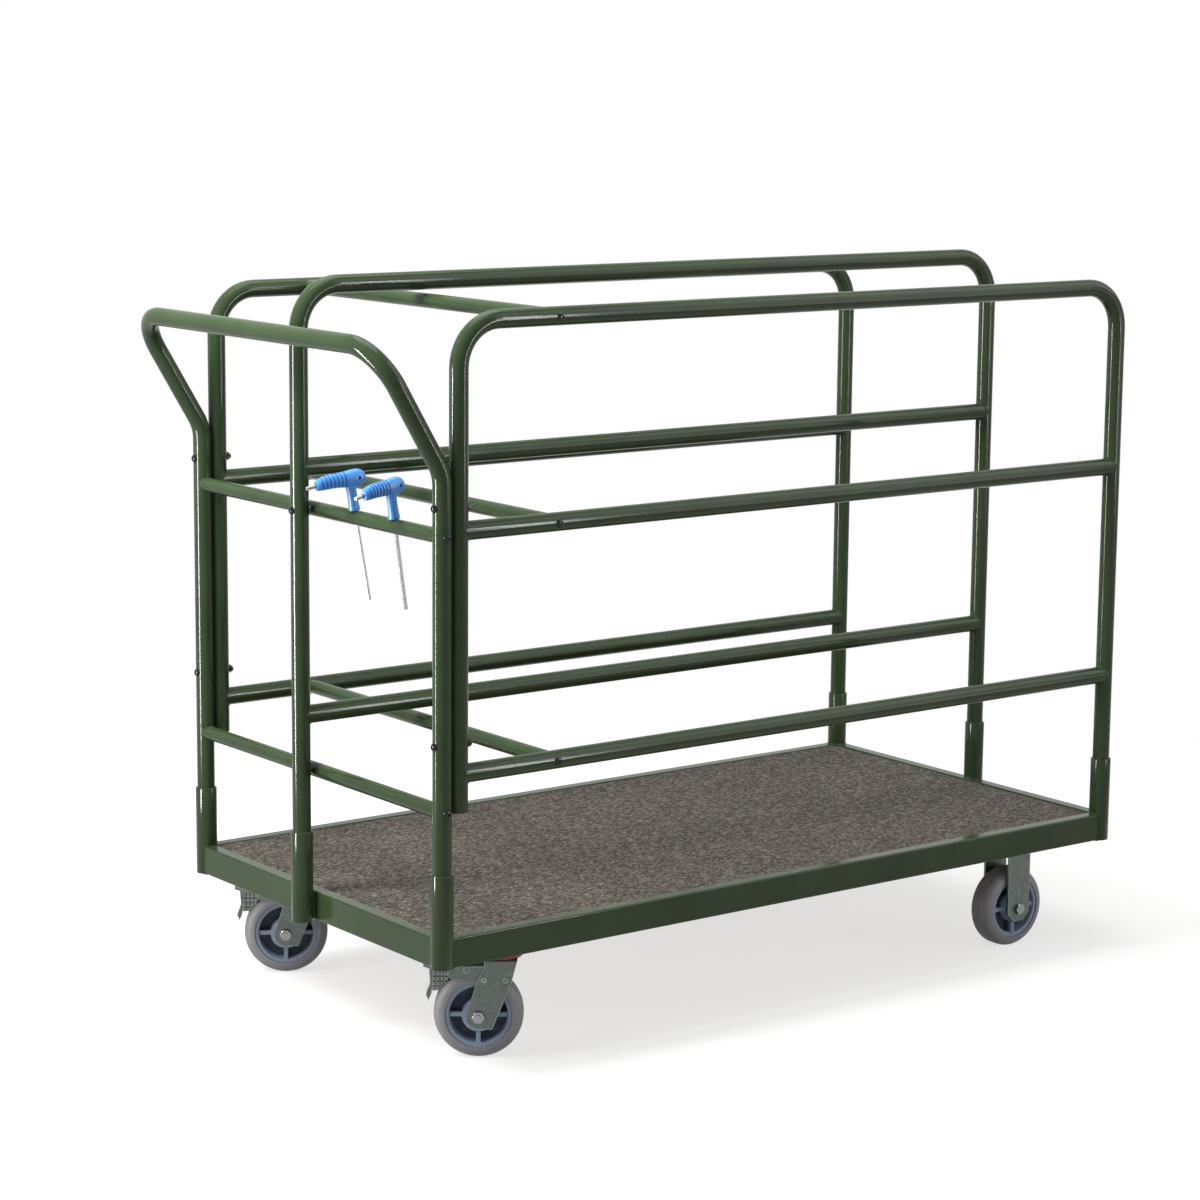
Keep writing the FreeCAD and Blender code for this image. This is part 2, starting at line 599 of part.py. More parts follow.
def yoke():
    """Swivel fork: flat crown and two raked legs, kingpin at the origin."""
    top = CROWN_TOP
    radius = FORK_END_RADIUS
    centre = Vector(TRAIL, 0, WHEEL_RADIUS)

    def on_end(angle):
        turn = math.radians(angle)
        return centre + Vector(radius * math.cos(turn), 0, radius * math.sin(turn))

    lead_knee = Vector(-CROWN_HALF + 10, 0, top - 40)
    tail_knee = Vector(CROWN_HALF + 13, 0, top - 41)
    tail_neck = Vector(CROWN_HALF, 0, top - 13)
    heel = centre + Vector(-FORK_HEEL, 0, -radius)
    corners = [on_end(40), tail_knee, tail_neck, Vector(CROWN_HALF, 0, top), Vector(-CROWN_HALF, 0, top),
               lead_knee, heel, on_end(270)]
    edges = [Part.LineSegment(a, b).toShape() for a, b in zip(corners, corners[1:])]
    edges.append(Part.Arc(on_end(270), on_end(335), on_end(40)).toShape())
    leg = Part.Face(Part.Wire(edges)).extrude(ALONG_Y * FORK_WIDTH)
    leg.translate(ALONG_Y * (-FORK_WIDTH / 2))
    leg = leg.makeFillet(FORK_HEEL_ROUND, [e for e in leg.Edges if (e.CenterOfMass - heel).Length < 1])
    gap = box((-200, -FORK_GAP / 2, 0), (200, FORK_GAP / 2, top - CROWN_THICKNESS))
    fork = leg.cut(gap)
    shoulders = [e for e in fork.Edges if e.BoundBox.ZMin > top - 0.1 and e.BoundBox.XLength > CROWN_HALF
                 and abs(e.CenterOfMass.y) > FORK_GAP / 2]
    fork = fork.makeFillet(CROWN_BEND, shoulders)
    fork = fork.cut(rod(KINGPIN_DIA + 2 * RUNNING_FIT, Vector(), UP * MOUNT_HEIGHT))
    for rivet_centre in cheek_rivet_centres():
        fork = across(fork, rivet_centre, CHEEK_RIVET_DIA + 2 * THREAD_FIT)
    return across(fork, centre, AXLE_DIA + 2 * THREAD_FIT).removeSplitter()


def brake_outline(points):
    """Brake outline moved from the tread's top to the kingpin's axes."""
    return [(TRAIL + x, WHEEL_DIA + z) for x, z in points]


def brake_pin_centre():
    """Pivot of the brake pedal, in the kingpin's axes."""
    return Vector(TRAIL + BRAKE_PIN_AT[0], 0, WHEEL_DIA + BRAKE_PIN_AT[1])


def cheek_rivet_centres():
    """Centres of the rivets that hold the brake housing in the fork."""
    return [Vector(x, 0, z) for x, z in brake_outline(CHEEK_RIVETS_AT)]


def brake_housing():
    """Folded sheet between the fork legs that carries the brake pin."""
    outer = FORK_GAP / 2
    inner = outer - BRAKE_SHEET
    channel = flat_outline(brake_outline(BRAKE_CHEEK), outer)
    back, front = (TRAIL + x for x in BRAKE_WEB)
    web_low = WHEEL_DIA + BRAKE_CHEEK[0][1] - BRAKE_SHEET
    left, right = channel.BoundBox.XMin, channel.BoundBox.XMax
    channel = channel.cut(box((left, -inner, 0), (right, inner, web_low)))
    channel = channel.cut(box((left, -inner, 0), (back, inner, MOUNT_HEIGHT)))
    channel = channel.cut(box((front, -inner, 0), (right, inner, MOUNT_HEIGHT)))
    channel = across(channel, brake_pin_centre(), BRAKE_PIN_DIA + 2 * THREAD_FIT)
    for centre in cheek_rivet_centres():
        channel = across(channel, centre, CHEEK_RIVET_DIA + 2 * THREAD_FIT)
    return channel


def across(shape, centre, dia):
    """Cuts a round hole across a caster piece, along the axle's direction."""
    return shape.cut(rod(dia, centre - ALONG_Y * FORK_WIDTH, centre + ALONG_Y * FORK_WIDTH))


def brake_rivets():
    """Riveted pivot pin of the pedal, and the rivets that hold the housing in the fork."""
    cheek = FORK_GAP / 2
    leg = FORK_WIDTH / 2
    centre = brake_pin_centre()
    pin = rod(BRAKE_PIN_DIA, centre - ALONG_Y * cheek, centre + ALONG_Y * cheek)
    rivets = []
    for side in SIDES.values():
        face = centre + ALONG_Y * (side * cheek)
        pin = pin.fuse(rod(BRAKE_RIVET_DIA, face, face + ALONG_Y * (side * BRAKE_RIVET_HEAD)))
        for rivet_centre in cheek_rivet_centres():
            tail = rivet_centre + ALONG_Y * (side * (cheek - BRAKE_SHEET))
            face = rivet_centre + ALONG_Y * (side * leg)
            head = rod(CHEEK_RIVET_HEAD_DIA, face, face + ALONG_Y * (side * CHEEK_RIVET_HEAD))
            rivets.append(head.fuse(rod(CHEEK_RIVET_DIA, tail, face)).removeSplitter())
    return [pin.removeSplitter()] + rivets


def brake_pedal():
    """Pedal lever with its pivot boss, serrated shoe and release tongue."""
    pin = brake_pin_centre()
    half = PEDAL_HALF_WIDTH
    lever = flat_outline(brake_outline(PEDAL_OUTLINE), half)
    boss = rod(PEDAL_BOSS_DIA, pin - ALONG_Y * half, pin + ALONG_Y * half)
    (left, low), (right, high) = brake_outline(SHOE_CORNERS)
    shoe = box((left, -SHOE_HALF_WIDTH, low), (right, SHOE_HALF_WIDTH, high))
    for side in SIDES.values():
        face = side * SHOE_HALF_WIDTH
        inner = face - side * SHOE_GROOVE
        near, far = sorted((face, inner))
        for k in range(1, SHOE_GROOVES + 1):
            x = left + (right - left) * k / (SHOE_GROOVES + 1) - SHOE_GROOVE / 2
            z = low + (high - low) * k / (SHOE_GROOVES + 2) - SHOE_GROOVE / 2
            shoe = shoe.cut(box((x, near, low), (x + SHOE_GROOVE, far, high)))
            shoe = shoe.cut(box((left, near, z), (right, far, z + SHOE_GROOVE)))
    axle = Vector(TRAIL, 0, WHEEL_RADIUS)
    tread = rod(WHEEL_DIA + 2 * SEAT_GAP, axle - ALONG_Y * half, axle + ALONG_Y * half)
    tongue = flat_outline(brake_outline(TONGUE_OUTLINE), TONGUE_HALF_WIDTH)
    pedal = lever.fuse([boss, shoe.cut(tread), tongue])
    return across(pedal, pin, BRAKE_PIN_DIA + 2 * RUNNING_FIT).removeSplitter()


def swivel_plate():
    """Top plate of a swivel caster, with its bearing boss and kingpin hole."""
    boss = rod(BOSS_DIA, UP * (CROWN_TOP + SEAT_GAP), UP * PLATE_BOTTOM)
    plate = caster_plate().fuse(boss)
    return plate.cut(rod(KINGPIN_DIA + 2 * THREAD_FIT, UP * 0, UP * MOUNT_HEIGHT)).removeSplitter()


def kingpin():
    """Kingpin and its nut under the fork's crown."""
    crown_low = CROWN_TOP - CROWN_THICKNESS
    pin = rod(KINGPIN_DIA, UP * (crown_low - SEAT_GAP - KINGPIN_NUT_HEIGHT), UP * MOUNT_HEIGHT)
    nut = aim(hex_head(KINGPIN_NUT_FLATS, KINGPIN_NUT_HEIGHT), UP * (crown_low - SEAT_GAP), UP * -1)
    return pin, nut.cut(rod(KINGPIN_DIA + 2 * THREAD_FIT, Vector(), UP * MOUNT_HEIGHT))


def dust_ring():
    """Seal ring lying on the fork's crown round the bearing boss."""
    return ring(DUST_RING_DIA, DUST_RING_BORE, CROWN_TOP, CROWN_TOP + DUST_RING_HEIGHT)


def rigid_bracket():
    """Fixed caster bracket: top plate with two straight legs, axle under the origin."""
    half = RIGID_LEG_WIDTH / 2
    foot = WHEEL_RADIUS - RIGID_LEG_DROP
    right = [(half, PLATE_BOTTOM), (half, foot + RIGID_LEG_CUT), (half - RIGID_LEG_CUT, foot)]
    outline = right + [(-x, z) for x, z in reversed(right)]
    legs = flat_outline(outline, FORK_WIDTH / 2)
    legs = legs.cut(box((-half, -FORK_GAP / 2, 0), (half, FORK_GAP / 2, MOUNT_HEIGHT)))
    axle = Vector(0, 0, WHEEL_RADIUS)
    bracket = caster_plate().fuse(legs)
    return across(bracket, axle, AXLE_DIA + 2 * THREAD_FIT).removeSplitter()


def placed(shape, place):
    """Copy of a piece carried to its place on the cart."""
    copy = shape.copy()
    copy.Placement = place.multiply(copy.Placement)
    return copy


def moved(shape, x, y, turn):
    """Copy of a caster piece turned about the kingpin and moved to its station."""
    return placed(shape, Placement(Vector(x, y, 0), Rotation(UP, turn)))


def build_casters():
    """Two braked swivel casters at the handle end and two rigid casters at the far end."""
    rests = {"front": FRONT_SWIVEL_REST, "back": BACK_SWIVEL_REST}
    plates = []
    kingpins = []
    brackets = []
    rigid_axles = []
    rigid_sleeves = []
    swivel_nodes = {"yoke": [yoke()], "dust_ring": [dust_ring()], "brake_housing": [brake_housing()],
                    "brake_rivets": brake_rivets(), "brake_pedal": [brake_pedal()],
                    "swivel_axle": axle_set(TRAIL), "swivel_sleeve": [axle_sleeve(TRAIL)],
                    "swivel_core": [wheel_core(TRAIL)], "swivel_tyre": [tyre(TRAIL)]}
    for name, side in SIDES.items():
        y = side * CASTER_Y
        plates.append(moved(swivel_plate(), SWIVEL_X, y, 0))
        kingpins.extend(moved(piece, SWIVEL_X, y, 0) for piece in kingpin())
        for node, pieces in swivel_nodes.items():
            export(name + "_" + node, *[moved(piece, SWIVEL_X, y, rests[name]) for piece in pieces])
        brackets.append(moved(rigid_bracket(), RIGID_X, y, 0))
        rigid_axles.extend(moved(piece, RIGID_X, y, 0) for piece in axle_set(0))
        rigid_sleeves.append(moved(axle_sleeve(0), RIGID_X, y, 0))
        export(name + "_rigid_core", moved(wheel_core(0), RIGID_X, y, 0))
        export(name + "_rigid_tyre", moved(tyre(0), RIGID_X, y, 0))
    export("swivel_plates", *plates)
    export("kingpins", *kingpins)
    export("rigid_brackets", *brackets)
    export("rigid_axles", *rigid_axles)
    export("rigid_sleeves", *rigid_sleeves)

    bolts = []
    nuts = []
    nut_low = MOUNT_HEIGHT + CROSS_MEMBER_WALL
    bolt = aim(hex_head(PLATE_BOLT_FLATS, PLATE_BOLT_HEAD), UP * PLATE_BOTTOM, UP * -1)
    shank = rod(PLATE_BOLT_DIA, UP * PLATE_BOTTOM, UP * (nut_low + PLATE_NUT_HEIGHT))
    bolt = bolt.fuse(shank).removeSplitter()
    nut = hex_prism(PLATE_BOLT_FLATS, PLATE_NUT_HEIGHT)
    nut.translate(UP * nut_low)
    nut = nut.cut(rod(PLATE_BOLT_DIA + 2 * THREAD_FIT, Vector(), UP * (2 * MOUNT_HEIGHT)))
    for x in (SWIVEL_X, RIGID_X):
        for side in SIDES.values():
            for dx, dy in plate_bolt_points():
                bolts.append(moved(bolt, x + dx, side * CASTER_Y + dy, 0))
                nuts.append(moved(nut, x + dx, side * CASTER_Y + dy, 0))
    export("caster_bolts", *bolts)
    export("caster_weld_nuts", *nuts)


def grip_section(reach, height, half_height, half_width):
    """Oval section of the grip, square to its reach."""
    major = max(half_height, half_width)
    minor = min(half_height, half_width)
    oval = Part.Ellipse(Vector(), major, minor).toShape()
    oval.rotate(Vector(), UP, 90 if half_height > half_width else 0)
    oval.rotate(Vector(), ALONG_X, 90)
    oval.rotate(Vector(), UP, 90)
    oval.translate(Vector(-reach, 0, height))
    return Part.Wire(oval)


def grip_body(inset):
    """Loft through the grip's sections, drawn in by an inset."""
    sections = [grip_section(r, h, hh - inset, hw - inset) for r, h, hh, hw in GRIP_SECTIONS]
    return Part.makeLoft(sections, True, False)


def key_stub():
    """Waisted stub between the grip and the rail, standing on the origin."""
    foot = ALONG_X * (STUB_FOOT_DIA / 2)
    waist = Vector(STUB_WAIST_DIA / 2, 0, STUB_WAIST_HEIGHT)
    neck = Vector(STUB_NECK_DIA / 2, 0, STUB_HEIGHT)
    top = UP * STUB_HEIGHT
    outline = [Part.LineSegment(Vector(), foot), Part.Arc(foot, waist, neck), Part.LineSegment(neck, top),
               Part.LineSegment(top, Vector())]
    return Part.Face(Part.Wire([curve.toShape() for curve in outline])).revolve(Vector(), UP, 360)


def key_grip():
    """Moulded grip of a hex key, its stub's foot at the origin and its blade pocket along +Z."""
    body = grip_body(0)
    bounds = body.BoundBox
    slabs = []
    for k in range(GRIP_GROOVES):
        x = -(GRIP_GROOVE_START + k * GRIP_GROOVE_PITCH)
        slabs.append(box((x - GRIP_GROOVE_WIDTH / 2, bounds.YMin - 1, bounds.ZMin - 1),
                         (x + GRIP_GROOVE_WIDTH / 2, bounds.YMax + 1, bounds.ZMax + 1)))
    grooves = Part.makeCompound(slabs).cut(grip_body(GRIP_GROOVE_DEPTH))
    grip = body.cut(grooves)
    grip = grip.fuse(key_stub())
    hub_reach, hub_height = HANG_HOLE_AT
    hub = Vector(-hub_reach, 0, hub_height)
    grip = grip.cut(rod(HANG_HOLE_DIA, hub - ALONG_Y * STUB_FOOT_DIA, hub + ALONG_Y * STUB_FOOT_DIA))
    grip = grip.cut(hex_prism(KEY_FLATS + 2 * THREAD_FIT, KEY_EMBED))
    tip = GRIP_SECTIONS[-1][0]
    return grip.cut(aim(hex_prism(KEY_FLATS + 2 * THREAD_FIT, tip), short_blade_root(), ALONG_X * -1))


def short_blade_root():
    """Inner end of the short blade, inside the grip."""
    reach, height = GRIP_SECTIONS[-1][:2]
    return Vector(KEY_EMBED - reach, 0, height)


def key_blades():
    """Long hanging blade and short side blade of a hex key."""
    long_blade = hex_prism(KEY_FLATS, KEY_BLADE_LENGTH + KEY_EMBED)
    long_blade.translate(UP * -KEY_BLADE_LENGTH)
    short_blade = hex_prism(KEY_FLATS, KEY_SHORT_LENGTH + KEY_EMBED)
    return long_blade, aim(short_blade, short_blade_root(), ALONG_X * -1)


def build_keys():
    """Two hex keys hanging in the mid end rail, leaning in their holes."""
    grip = key_grip()
    blades = key_blades()
    rail_height = level(END_RAIL_HEIGHTS[0])
    for name, y in KEY_POSITIONS_Y.items():
        lean = Rotation(UP, KEY_TURNS[name]).multiply(Rotation(ALONG_Y, -KEY_TILT))
        axis = lean.multVec(UP)
        seat_rise = END_RAIL_DIA / 2 + SEAT_GAP + abs(axis.y) * STUB_FOOT_DIA / 2
        foot = Vector(X_HANDLE, y, rail_height) + axis * (seat_rise / axis.z)
        place = Placement(foot, lean)
        export(name + "_key_grip", placed(grip, place))
        export(name + "_key_blade", *[placed(blade, place) for blade in blades])


def main():
    """Builds every node of the cart."""
    os.makedirs("parts", exist_ok=True)
    build_deck()
    build_handle()
    build_side_hoops()
    build_divider()
    build_cross_bars()
    build_casters()
    build_keys()


main()
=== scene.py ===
"""Looks of a steel panel cart: finishes, weld beads, carpet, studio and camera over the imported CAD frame."""

import json
import logging
import math
from abc import ABC, abstractmethod
from collections.abc import Mapping, Sequence
from dataclasses import dataclass, field
from enum import Enum
from typing import Any, Optional, Union

import bpy
from mathutils import Matrix, Vector


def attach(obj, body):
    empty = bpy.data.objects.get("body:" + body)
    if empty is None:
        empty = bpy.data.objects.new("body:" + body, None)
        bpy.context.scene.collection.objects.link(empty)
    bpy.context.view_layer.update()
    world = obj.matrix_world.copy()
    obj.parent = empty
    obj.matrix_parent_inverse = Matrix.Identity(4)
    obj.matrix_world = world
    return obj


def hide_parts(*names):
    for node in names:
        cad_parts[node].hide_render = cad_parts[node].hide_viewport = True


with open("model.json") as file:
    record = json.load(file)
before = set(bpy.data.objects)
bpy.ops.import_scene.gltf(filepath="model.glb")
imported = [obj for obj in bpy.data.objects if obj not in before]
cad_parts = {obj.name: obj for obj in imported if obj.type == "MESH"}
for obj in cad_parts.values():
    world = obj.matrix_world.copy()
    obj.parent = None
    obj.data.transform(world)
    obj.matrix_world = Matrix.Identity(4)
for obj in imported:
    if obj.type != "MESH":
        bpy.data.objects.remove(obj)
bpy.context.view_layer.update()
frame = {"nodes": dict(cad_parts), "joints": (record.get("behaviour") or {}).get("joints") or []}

logging.basicConfig(level=logging.INFO, format="%(message)s")
log = logging.getLogger("panel_cart")

Colour = tuple[float, float, float, float]
Triple = tuple[float, float, float]
Operand = Union["Term", float]
SocketValue = Union["Term", float, Colour, Triple]
UP = Vector((0.0, 0.0, 1.0))
WHITE = (1.0, 1.0, 1.0, 1.0)
MM = 0.001

# Driving sizes of the cart, as in its CAD: post axes, tubes, gaps and the underside of the deck
POST_X = 762.0 * MM
POST_Y = 381.0 * MM
POST_RADIUS = 15.875 * MM
SOCKET_RADIUS = 19.05 * MM
RAIL_HALF = 12.7 * MM
SEAT_GAP = 0.3 * MM
CARPET_GAP = 1.0 * MM
DECK_LOW = 196.85 * MM

# Settings that the finishes and the broken edges share
NEAR_RAYS = 6
SCRATCHES_ACROSS = 620.0
SCRATCHES_ALONG = 11.0
SCRATCH_LEVELS = (0.70, 0.78)
MERGE_WITHIN = 0.001 * MM
BREAK_ANGLE = math.radians(40)
BREAK_STEPS = 2


def srgb(red: int, green: int, blue: int) -> Colour:
    """Turns a colour as seen on a screen into the linear one that shaders take.

    Args:
        red: Red from 0 to 255.
        green: Green from 0 to 255.
        blue: Blue from 0 to 255.

    Returns:
        Linear colour with an alpha of 1.
    """
    def linear(value: int) -> float:
        """Undoes the screen's curve on one channel."""
        share = value / 255
        return share / 12.92 if share <= 0.04045 else ((share + 0.055) / 1.055) ** 2.4

    return linear(red), linear(green), linear(blue), 1.0


class Side(Enum):
    """The two long sides of the cart, with their direction along Y."""

    FRONT = -1
    BACK = 1

    @property
    def word(self) -> str:
        """First word of the side's node and body names."""
        return self.name.lower()


class EdgeBreak(Enum):
    """How far an edge is broken, in metres, so that it catches the light as a made edge does."""

    SHEET = 0.5 * MM
    FORGED = 0.8 * MM
    MOULDED = 1.1 * MM
    SAWN = 0.6 * MM


class LampUse(Enum):
    """What a studio lamp is for: the colours, the gloss, or both."""

    COLOUR = "colour"
    GLOSS = "gloss"
    BOTH = "both"


class Coordinates(Enum):
    """Outputs of the texture coordinate node that the finishes use."""

    PLACE = "Object"
    FACING = "Normal"


class Term:
    """A shader socket that takes part in Python arithmetic; each operator adds one Math node."""

    def __init__(self, surface: "Surface", node: bpy.types.Node, output: Union[str, int]) -> None:
        """Wraps one output of a node.

        Args:
            surface: The surface that the node belongs to.
            node: The node.
            output: Name or number of its output.
        """
        self.surface = surface
        self.maker = node
        self.socket = node.outputs[output]

    def other(self, output: Union[str, int]) -> "Term":
        """Another output of the same node."""
        return Term(self.surface, self.maker, output)

    def _math(self, operation: str, first: Operand, second: Operand = 0.0) -> "Term":
        """Adds a Math node on two values."""
        return self.surface.node("ShaderNodeMath", {"operation": operation}, {0: first, 1: second})

    def __add__(self, value: Operand) -> "Term":
        """Sum."""
        return self._math("ADD", self, value)

    __radd__ = __add__

    def __sub__(self, value: Operand) -> "Term":
        """Difference."""
        return self._math("SUBTRACT", self, value)

    def __rsub__(self, value: Operand) -> "Term":
        """Difference from a value on the left."""
        return self._math("SUBTRACT", value, self)

    def __mul__(self, value: Operand) -> "Term":
        """Product."""
        return self._math("MULTIPLY", self, value)

    __rmul__ = __mul__

    def __pow__(self, value: Operand) -> "Term":
        """Power."""
        return self._math("POWER", self, value)

    def __abs__(self) -> "Term":
        """Size without sign."""
        return self._math("ABSOLUTE", self)

    def __or__(self, value: Operand) -> "Term":
        """The larger of two masks."""
        return self._math("MAXIMUM", self, value)

    def sine(self) -> "Term":
        """Sine of an angle in radians."""
        return self._math("SINE", self)


class Surface:
    """The node tree of a material or of the world, under construction."""

    def __init__(self, tree: bpy.types.NodeTree) -> None:
        """Empties a node tree and starts on it."""
        self.tree = tree
        tree.nodes.clear()

    def node(self, kind: str, settings: Optional[Mapping[str, Any]] = None,
             inputs: Optional[Mapping[Union[str, int], SocketValue]] = None,
             output: Union[str, int] = 0) -> Term:
        """Adds a node of any type.

        Args:
            kind: Blender's name of the node type.
            settings: Properties to set first; "stops" is a list of a ramp's positions and colours.
            inputs: Values or terms for the sockets, by name or number.
            output: Name or number of the output that is wanted.

        Returns:
            The wanted output.
        """
        made = self.tree.nodes.new(kind)
        for name, value in (settings or {}).items():
            if name == "stops":
                self._set_stops(made.color_ramp, value)
            else:
                setattr(made, name, value)
        for name, value in (inputs or {}).items():
            if isinstance(value, Term):
                self.tree.links.new(value.socket, made.inputs[name])
            else:
                made.inputs[name].default_value = value
        return Term(self, made, output)

    @staticmethod
    def _set_stops(ramp: bpy.types.ColorRamp, stops: Sequence[tuple[float, Colour]]) -> None:
        """Puts the positions and colours on a colour ramp.

        Args:
            ramp: The ramp.
            stops: Position and colour of each stop.
        """
        while len(ramp.elements) < len(stops):
            ramp.elements.new(1.0)
        for element, (position, colour) in zip(ramp.elements, stops):
            element.position = position
            element.color = colour

    def at(self, kind: Coordinates = Coordinates.PLACE) -> Term:
        """Place or facing of the shaded point, in the piece's own axes."""
        return self.node("ShaderNodeTexCoord", output=kind.value)

    def part(self, vector: Term, axis: str) -> Term:
        """One of the X, Y and Z parts of a vector."""
        return self.node("ShaderNodeSeparateXYZ", inputs={0: vector}, output=axis)

    def vector(self, operation: str, first: Term, second: Union[Term, Triple] = (0.0, 0.0, 0.0),
               output: str = "Vector") -> Term:
        """Adds a Vector Math node on two vectors."""
        return self.node("ShaderNodeVectorMath", {"operation": operation}, {0: first, 1: second}, output)

    def stretched(self, vector: Term, factors: Triple) -> Term:
        """A vector multiplied part by part."""
        return self.vector("MULTIPLY", vector, factors)

    def noise(self, vector: Term, scale: float, detail: float = 2.0, roughness: float = 0.5) -> Term:
        """Soft noise between 0 and 1."""
        return self.node("ShaderNodeTexNoise", inputs={"Vector": vector, "Scale": scale, "Detail": detail,
                                                       "Roughness": roughness})

    def cells(self, vector: Term, scale: float) -> Term:
        """Distance in a field of cells; the Color output is one colour a cell."""
        return self.node("ShaderNodeTexVoronoi", inputs={"Vector": vector, "Scale": scale})

    def step(self, value: Term, low: float, high: float) -> Term:
        """Smooth step from 0 at low to 1 at high."""
        return self.node("ShaderNodeMapRange", {"interpolation_type": "SMOOTHSTEP"},
                         {"Value": value, "From Min": low, "From Max": high})

    def mix(self, share: Operand, first: Union[Term, Colour], second: Union[Term, Colour]) -> Term:
        """Colour between two colours."""
        return self.node("ShaderNodeMix", {"data_type": "RGBA"}, {0: share, 6: first, 7: second}, 2)

    def ramp(self, value: Term, stops: Sequence[tuple[float, Colour]]) -> Term:
        """Colour read from a ramp."""
        return self.node("ShaderNodeValToRGB", {"stops": stops}, {0: value})

    def creases(self, reach: float) -> Term:
        """Mask of inner corners and grooves, where other surfaces stand within that reach in metres; the
        finishes paint shade into their colour with it.
        """
        return self._crowded(reach, {"samples": NEAR_RAYS})

    def edges(self, reach: float) -> Term:
        """Mask of outer edges, where a piece's own faces turn away within that reach in metres."""
        return self._crowded(reach, {"samples": NEAR_RAYS, "inside": True, "only_local": True})

    def _crowded(self, reach: float, settings: Mapping[str, Any]) -> Term:
        """Share of the rays from a point that meet a face within that reach in metres."""
        return 1.0 - self.node("ShaderNodeAmbientOcclusion", settings, {"Distance": reach}, "AO")

    def bump(self, height: Term, depth: float, under: Optional[Term] = None) -> Term:
        """Turns a height into the normal of a relief.

        Args:
            height: Height from 0 to 1.
            depth: Depth of the relief in metres.
            under: Normal of another relief that this one lies on.

        Returns:
            The relief's normal.
        """
        inputs: dict[Union[str, int], SocketValue] = {"Height": height, "Distance": depth}
        if under is not None:
            inputs["Normal"] = under
        return self.node("ShaderNodeBump", inputs=inputs, output="Normal")

    def scratches(self, place: Term, length_axis: int, seed: float) -> Term:
        """Mask of fine scratches along one axis.

        Args:
            place: Place of the shaded point.
            length_axis: Axis that the scratches follow, 0 to 2.
            seed: Shift that sets this family apart from the others.

        Returns:
            Mask from 0 to 1.
        """
        factors = [SCRATCHES_ACROSS] * 3
        factors[length_axis] = SCRATCHES_ALONG
        moved = self.vector("ADD", place, (seed, seed, seed))
        lines = self.noise(self.stretched(moved, tuple(factors)), 1.0, 1.0)
        return self.step(lines, *SCRATCH_LEVELS)

    def shine(self, **inputs: SocketValue) -> None:
        """Ends the material in a Principled shader.

        Args:
            **inputs: Values or terms by socket name, with _ for a space.
        """
        named = {name.replace("_", " "): value for name, value in inputs.items()}
        self.end(self.node("ShaderNodeBsdfPrincipled", inputs=named))

    def looked_at(self) -> Term:
        """1 for the rays that look at a ground, straight, mirrored or through glass, and 0 for its light."""
        path = self.node("ShaderNodeLightPath", output="Is Camera Ray")
        return path | path.other("Is Glossy Ray") | path.other("Is Transmission Ray")

    def end(self, shader: Term, kind: str = "ShaderNodeOutputMaterial") -> None:
        """Joins a shader to an output node of the tree."""
        last = self.tree.nodes.new(kind)
        self.tree.links.new(shader.socket, last.inputs["Surface"])


@dataclass(frozen=True)
class Finish(ABC):
    """A finish that pieces can be given; equal finishes share one material."""

    name: str

    @property
    def slot(self) -> str:
        """The finish's name; the script names no material slots by it."""
        return self.name

    @abstractmethod
    def lay(self, surface: Surface) -> None:
        """Builds the finish's nodes on a surface."""

    def material(self) -> bpy.types.Material:
        """Finds the finish's material, or makes it on its first use.

        Returns:
            The material.
        """
        title = "finish_" + self.name
        made = bpy.data.materials.get(title)
        if made is None:
            made = bpy.data.materials.new(title)
            made.use_nodes = True
            self.lay(Surface(made.node_tree))
        return made


@dataclass(frozen=True)
class GlossPaint(Finish):
    """Glossy paint on steel, with orange peel, a few fine scratches and a little settled dust."""

    name: str = "green_paint"
    deep: Colour = srgb(55, 71, 46)
    pale: Colour = srgb(61, 79, 51)
    scratched: Colour = srgb(82, 97, 74)
    dusty: Colour = srgb(92, 98, 80)
    roughness: float = 0.11
    peel_depth: float = 0.001 * MM

    def lay(self, surface: Surface) -> None:
        """Builds the paint.

        Args:
            surface: The surface to build on.
        """
        place = surface.at()
        tone = surface.noise(place, 7.0, 3.0)
        peel = surface.noise(place, 200.0, 1.0)
        patches = surface.step(surface.noise(place, 9.0, 2.0), 0.56, 0.72)
        lines = surface.scratches(place, 2, 3.1) | surface.scratches(place, 0, 7.7)
        scratch = lines * patches * 0.4
        up = surface.part(surface.at(Coordinates.FACING), "Z")
        speckle = surface.step(surface.noise(place, 38.0, 5.0, 0.65), 0.42, 0.75)
        dust = surface.step(up, 0.55, 1.0) * speckle * 0.16
        colour = surface.mix(surface.step(tone, 0.3, 0.7), self.deep, self.pale)
        colour = surface.mix(scratch, colour, self.scratched)
        colour = surface.mix(dust, colour, self.dusty)
        surface.shine(Base_Color=colour, Roughness=self.roughness + tone * 0.05 + scratch * 0.2 + dust * 0.6,
                      Specular_IOR_Level=0.14, Normal=surface.bump(peel, self.peel_depth))


